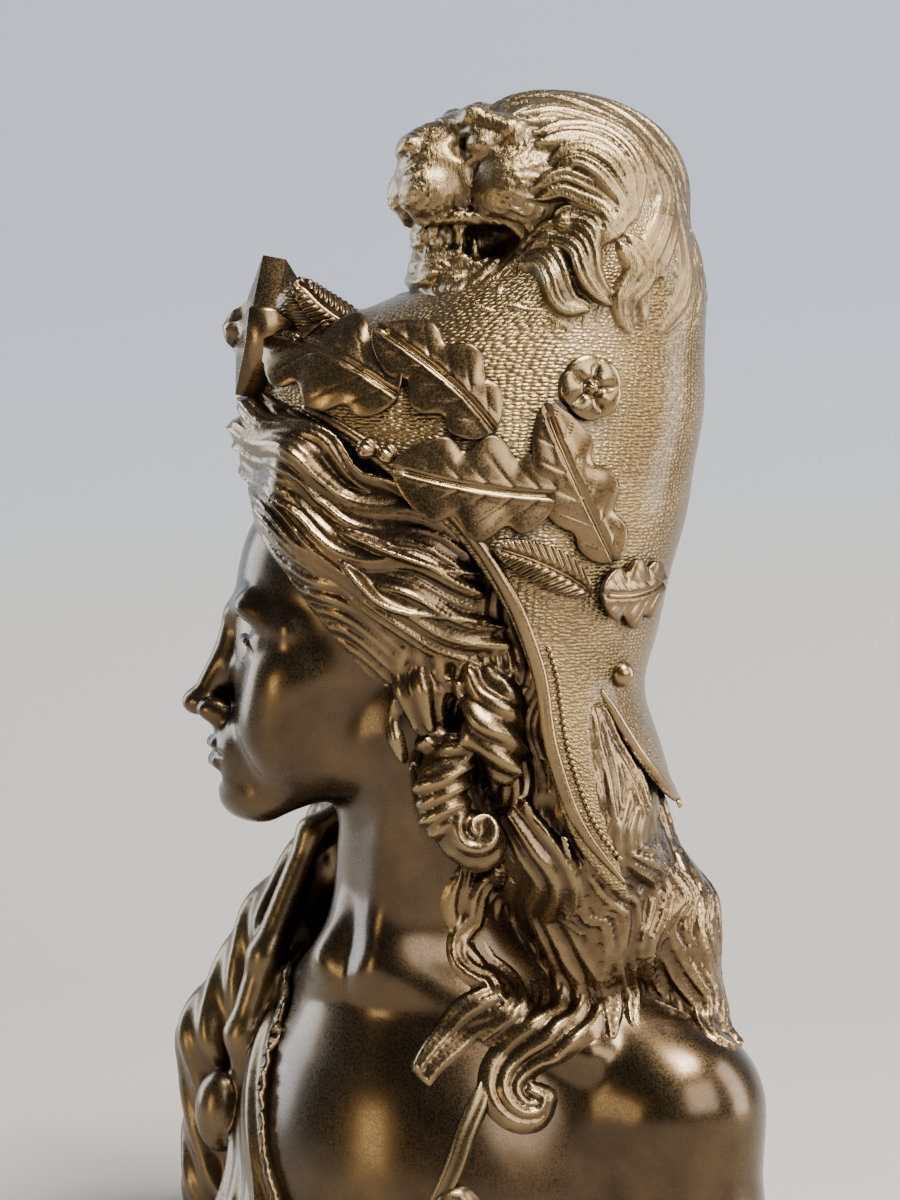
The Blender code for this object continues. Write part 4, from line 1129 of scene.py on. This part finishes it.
def bronze(name, body, warm, rough, wear_and_highlight, stipple=0.0, hairs=0.0, grain=0.6):
    """Patinated bronze: mottled brown; gold on crests, rubbed wear with a painted highlight; dark and
    dull in recesses, patina with painted shade.
    """
    t = Tree(name)
    crest = t.node("ShaderNodeAttribute", attribute_name="crest").outputs["Fac"]
    mottle, speck = t.noise(420.0), t.noise(2600.0, 2.0)
    colour = t.mix(t.ramp(t.noise(70.0, 5.0), 0.35, 0.68), body, warm)
    colour = t.mix(t.ramp(mottle, 0.55, 0.8, 0.0, 0.3), colour, DARK)
    # Gold on crests: rubbed wear, with a painted highlight where the crests catch the light.
    rubbed_gold_and_highlight = t.ramp(t.plus(crest, mottle, 0.5), 0.0, 1.5, 0.0, wear_and_highlight)
    # Near black in recesses and grooves: darker patina, with painted shade from ambient occlusion and the
    # groove mask.
    recess = t.node("ShaderNodeAmbientOcclusion", samples=10)
    recess.inputs["Distance"].default_value = RECESS_REACH
    hidden = t.ramp(recess.outputs["AO"], 0.25, 0.8, 0.85, 0.0)
    patina_and_painted_shade = t.math("MAXIMUM", hidden, t.ramp(crest, -0.75, -0.1, 0.55, 0.0))
    t.put(t.shader.inputs["Base Color"], t.mix(patina_and_painted_shade, t.mix(rubbed_gold_and_highlight, colour, GOLD), DARK))
    for key, value in (("Metallic", 1.0), ("Coat Weight", 0.4), ("Coat Roughness", 0.2)):
        t.shader.inputs[key].default_value = value
    uneven = t.ramp(speck, 0.3, 0.75, rough - 0.07, rough + 0.10)
    t.put(t.shader.inputs["Roughness"], t.plus(t.plus(uneven, rubbed_gold_and_highlight, -0.10), patina_and_painted_shade, 0.22))
    height = t.plus(t.math("MULTIPLY", mottle, 0.5), speck, 0.25)
    if stipple:
        dots = t.node("ShaderNodeTexVoronoi", Scale=1.0, Randomness=0.55)
        cell = t.node("ShaderNodeAttribute", attribute_name="cell")
        t.links.new(cell.outputs["Vector"], dots.inputs["Vector"])
        height = t.plus(height, t.ramp(dots.outputs["Distance"], 0.1, 0.75, 1.0, 0.0), 1.5 * stipple)
    if hairs:
        stretched = t.node("ShaderNodeMapping")
        stretched.inputs["Scale"].default_value = (1.0, 1.0, 0.25)
        t.links.new(t.coord(), stretched.inputs["Vector"])
        height = t.plus(height, t.noise(2600.0, 3.0, 0.6, stretched.outputs["Vector"]), hairs)
    distance = COARSE_RELIEF if stipple or hairs else FINE_RELIEF
    bump = t.node("ShaderNodeBump", Strength=grain, Distance=distance)
    t.links.new(height, bump.inputs["Height"])
    t.links.new(bump.outputs["Normal"], t.shader.inputs["Normal"])
    return t.material


def piece(name, made, material, cells=None, most=None):
    """One visible piece from (points, triangles) in millimetres, thinned to most triangles."""
    first = np.cumsum([0] + [len(p) for p, _ in made])
    points = np.concatenate([p for p, _ in made])
    tris = np.concatenate([f + start for (_, f), start in zip(made, first)])
    mesh = bpy.data.meshes.new(name)
    mesh.vertices.add(len(points))
    mesh.vertices.foreach_set("co", (points * 0.001).ravel())
    mesh.loops.add(len(tris) * 3)
    mesh.loops.foreach_set("vertex_index", tris.astype(np.int32).ravel())
    mesh.polygons.add(len(tris))
    mesh.polygons.foreach_set("loop_start", np.arange(0, len(tris) * 3, 3))
    mesh.polygons.foreach_set("use_smooth", np.ones(len(tris), bool))
    mesh.update(calc_edges=True)
    crest = mesh.attributes.new("crest", "FLOAT", "POINT")
    crest.data.foreach_set("value", crest_of(points, tris))
    if cells is not None:
        cell = mesh.attributes.new("cell", "FLOAT_VECTOR", "POINT")
        cell.data.foreach_set("vector", cells(points).ravel())
    mesh.materials.append(material)
    obj = bpy.data.objects.new(name, mesh)
    bpy.context.collection.objects.link(obj)
    if most and len(tris) > most:
        fewer = obj.modifiers.new("fewer", "DECIMATE")
        fewer.ratio = most / len(tris)
        graph = bpy.context.evaluated_depsgraph_get()
        obj.data = bpy.data.meshes.new_from_object(obj.evaluated_get(graph))
        obj.modifiers.clear()
    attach(obj, "root")
    return obj


def cap_cells(points):
    """Rows and columns of punch marks round the cap, a mark to every unit."""
    q = to_head(points)
    z = q[:, 2]
    front, back = curve_value(z, CAP_FRONT), curve_value(z, CAP_BACK)
    wide, half = curve_value(z, CAP_HALF_WIDTH), (back - front) / 2
    angle = np.arctan2(q[:, 0] / wide, (q[:, 1] - (front + back) / 2) / half)
    return np.stack([angle * 27, z / 0.62 + 0.2 * np.sin(0.15 * q[:, 1]), np.zeros(len(z))], axis=-1)


def in_face(points):
    q = to_head(points)
    return (q[:, 1] < 4) & (q[:, 2] < 30) & (q[:, 2] > -38)


def in_features(points):
    q = to_head(points)
    return (q[:, 1] < -20) & (q[:, 2] < 5) & (q[:, 2] > -28) & (np.abs(q[:, 0]) < 15)


FLESH = bronze("bronze_flesh", (0.048, 0.029, 0.014, 1), (0.086, 0.054, 0.025, 1), rough=0.30,
               wear_and_highlight=0.08, grain=0.12)
CLOTH = bronze("bronze_cloth", (0.078, 0.050, 0.025, 1), (0.126, 0.083, 0.041, 1), rough=0.34,
               wear_and_highlight=0.3, grain=0.2)
CAP = bronze("bronze_cap", (0.155, 0.103, 0.047, 1), (0.240, 0.166, 0.078, 1), rough=0.36,
             wear_and_highlight=0.4, stipple=1.0)
LEAF = bronze("bronze_leaf", (0.120, 0.074, 0.034, 1), (0.205, 0.133, 0.060, 1), rough=0.29,
              wear_and_highlight=0.5, grain=0.25)
HAIR = bronze("bronze_hair", (0.080, 0.048, 0.022, 1), (0.142, 0.088, 0.040, 1), rough=0.30,
              wear_and_highlight=0.5)
FUR = bronze("bronze_fur", (0.135, 0.089, 0.042, 1), (0.210, 0.145, 0.069, 1), rough=0.33,
             wear_and_highlight=0.5, hairs=0.9)


def build_pieces():
    body = piece("figure", [skin(figure, (-70, -72, -6), (72, 60, 168), 1.0,
                                 (in_face, in_features))], FLESH, most=140000)
    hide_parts("bust")
    piece("drapery", [skin(drapery, (-72, -66, -6), (70, 44, 100), 0.95)], CLOTH, most=62000)
    piece("cap", [skin(in_head(cap), (-28, -70, 70), (78, 42, 222), 0.85)], CAP, cap_cells)
    piece("lion_head", lion_head(), FUR, most=165000)
    piece("temple_hair", temple_hair(), HAIR, most=180000)
    piece("fallen_hair", fallen_hair(), HAIR, most=175000)
    piece("oak_wreath", wreath(), LEAF, most=110000)
    piece("star", star(), LEAF)
    piece("cap_rims", rims(), LEAF)
    piece("cap_ornaments", ornaments(), LEAF)
    piece("shoulder_strap", strap(), CLOTH)


# Stage, camera and light


def backdrop():
    """A pale floor that curves up into a wall behind the bust."""
    rows = [(-900.0, 0.0), (250.0, 0.0)]
    for i in range(1, 25):
        a = math.pi / 2 * i / 24
        rows.append((250 + 350 * math.sin(a), 350 - 350 * math.cos(a)))
    rows.append((600.0, 1500.0))
    points = [(side * 1500.0, y, z) for y, z in rows for side in (-1, 1)]
    turn = np.array(Euler((0, 0, VIEW_TURN)).to_matrix())
    points = np.array(points) @ turn.T * 0.001
    faces = [(2 * i, 2 * i + 1, 2 * i + 3, 2 * i + 2) for i in range(len(rows) - 1)]
    mesh = bpy.data.meshes.new("backdrop")
    mesh.from_pydata(points.tolist(), [], faces)
    mesh.polygons.foreach_set("use_smooth", [True] * len(faces))
    t = Tree("backdrop_paper")
    height = t.node("ShaderNodeSeparateXYZ")
    t.links.new(t.coord(), height.inputs[0])
    up = t.ramp(height.outputs["Z"], 0.0, 0.22)
    colour = t.mix(up, (0.43, 0.405, 0.365, 1), (0.30, 0.345, 0.43, 1))
    t.put(t.shader.inputs["Base Color"], colour)
    t.shader.inputs["Roughness"].default_value = 0.9
    mesh.materials.append(t.material)
    obj = bpy.data.objects.new("backdrop", mesh)
    bpy.context.collection.objects.link(obj)


def area_light(name, where, at, size, power, colour):
    light = bpy.data.lights.new(name, "AREA")
    light.shape = "RECTANGLE"
    light.size, light.size_y = size
    light.energy = power
    light.color = colour
    obj = bpy.data.objects.new(name, light)
    obj.location = where
    obj.rotation_euler = (Vector(at) - Vector(where)).to_track_quat("-Z", "Y").to_euler()
    bpy.context.collection.objects.link(obj)


def seen(across, towards, up):
    """A place given as seen in the picture: to the right, towards the camera, and up."""
    place = VIEW_ACROSS * across + VIEW_TOWARDS * towards
    return (place[0], place[1], up)


def light_the_scene():
    target = (0, 0, 0.12)
    area_light("sky_top", seen(0.22, 0.30, 0.86), (0.03, 0, 0.08), (0.30, 0.30), 18, (1.0, 0.96, 0.90))
    area_light("room_front", seen(0.60, 0.80, 0.50), target, (0.7, 0.6), 10, (1.0, 0.95, 0.87))
    area_light("room_right", seen(0.75, 0.02, 0.30), target, (0.3, 0.7), 7, (1.0, 0.95, 0.88))
    area_light("window_left", seen(-0.65, -0.30, 0.34), target, (0.35, 0.7), 6, (0.76, 0.87, 1.0))
    area_light("lamp_low_left", seen(-0.45, 0.40, 0.05), (0, 0, 0.07), (0.15, 0.3), 1.0,
               (1.0, 0.78, 0.42))
    world = bpy.data.worlds.new("room")
    bpy.context.scene.world = world
    world.use_nodes = True
    world.node_tree.nodes["Background"].inputs["Color"].default_value = (0.60, 0.66, 0.76, 1)
    world.node_tree.nodes["Background"].inputs["Strength"].default_value = 0.14


def camera():
    lens = bpy.data.cameras.new("camera")
    lens.sensor_fit = "VERTICAL"
    lens.angle = math.radians(20.6)
    obj = bpy.data.objects.new("camera", lens)
    bpy.context.collection.objects.link(obj)
    obj.location = (VIEW_MIDDLE + VIEW_BACK * VIEW_DISTANCE) * 0.001
    obj.rotation_euler = Vector(-VIEW_BACK).to_track_quat("-Z", "Y").to_euler()
    bpy.context.scene.camera = obj


build_pieces()
backdrop()
light_the_scene()
camera()
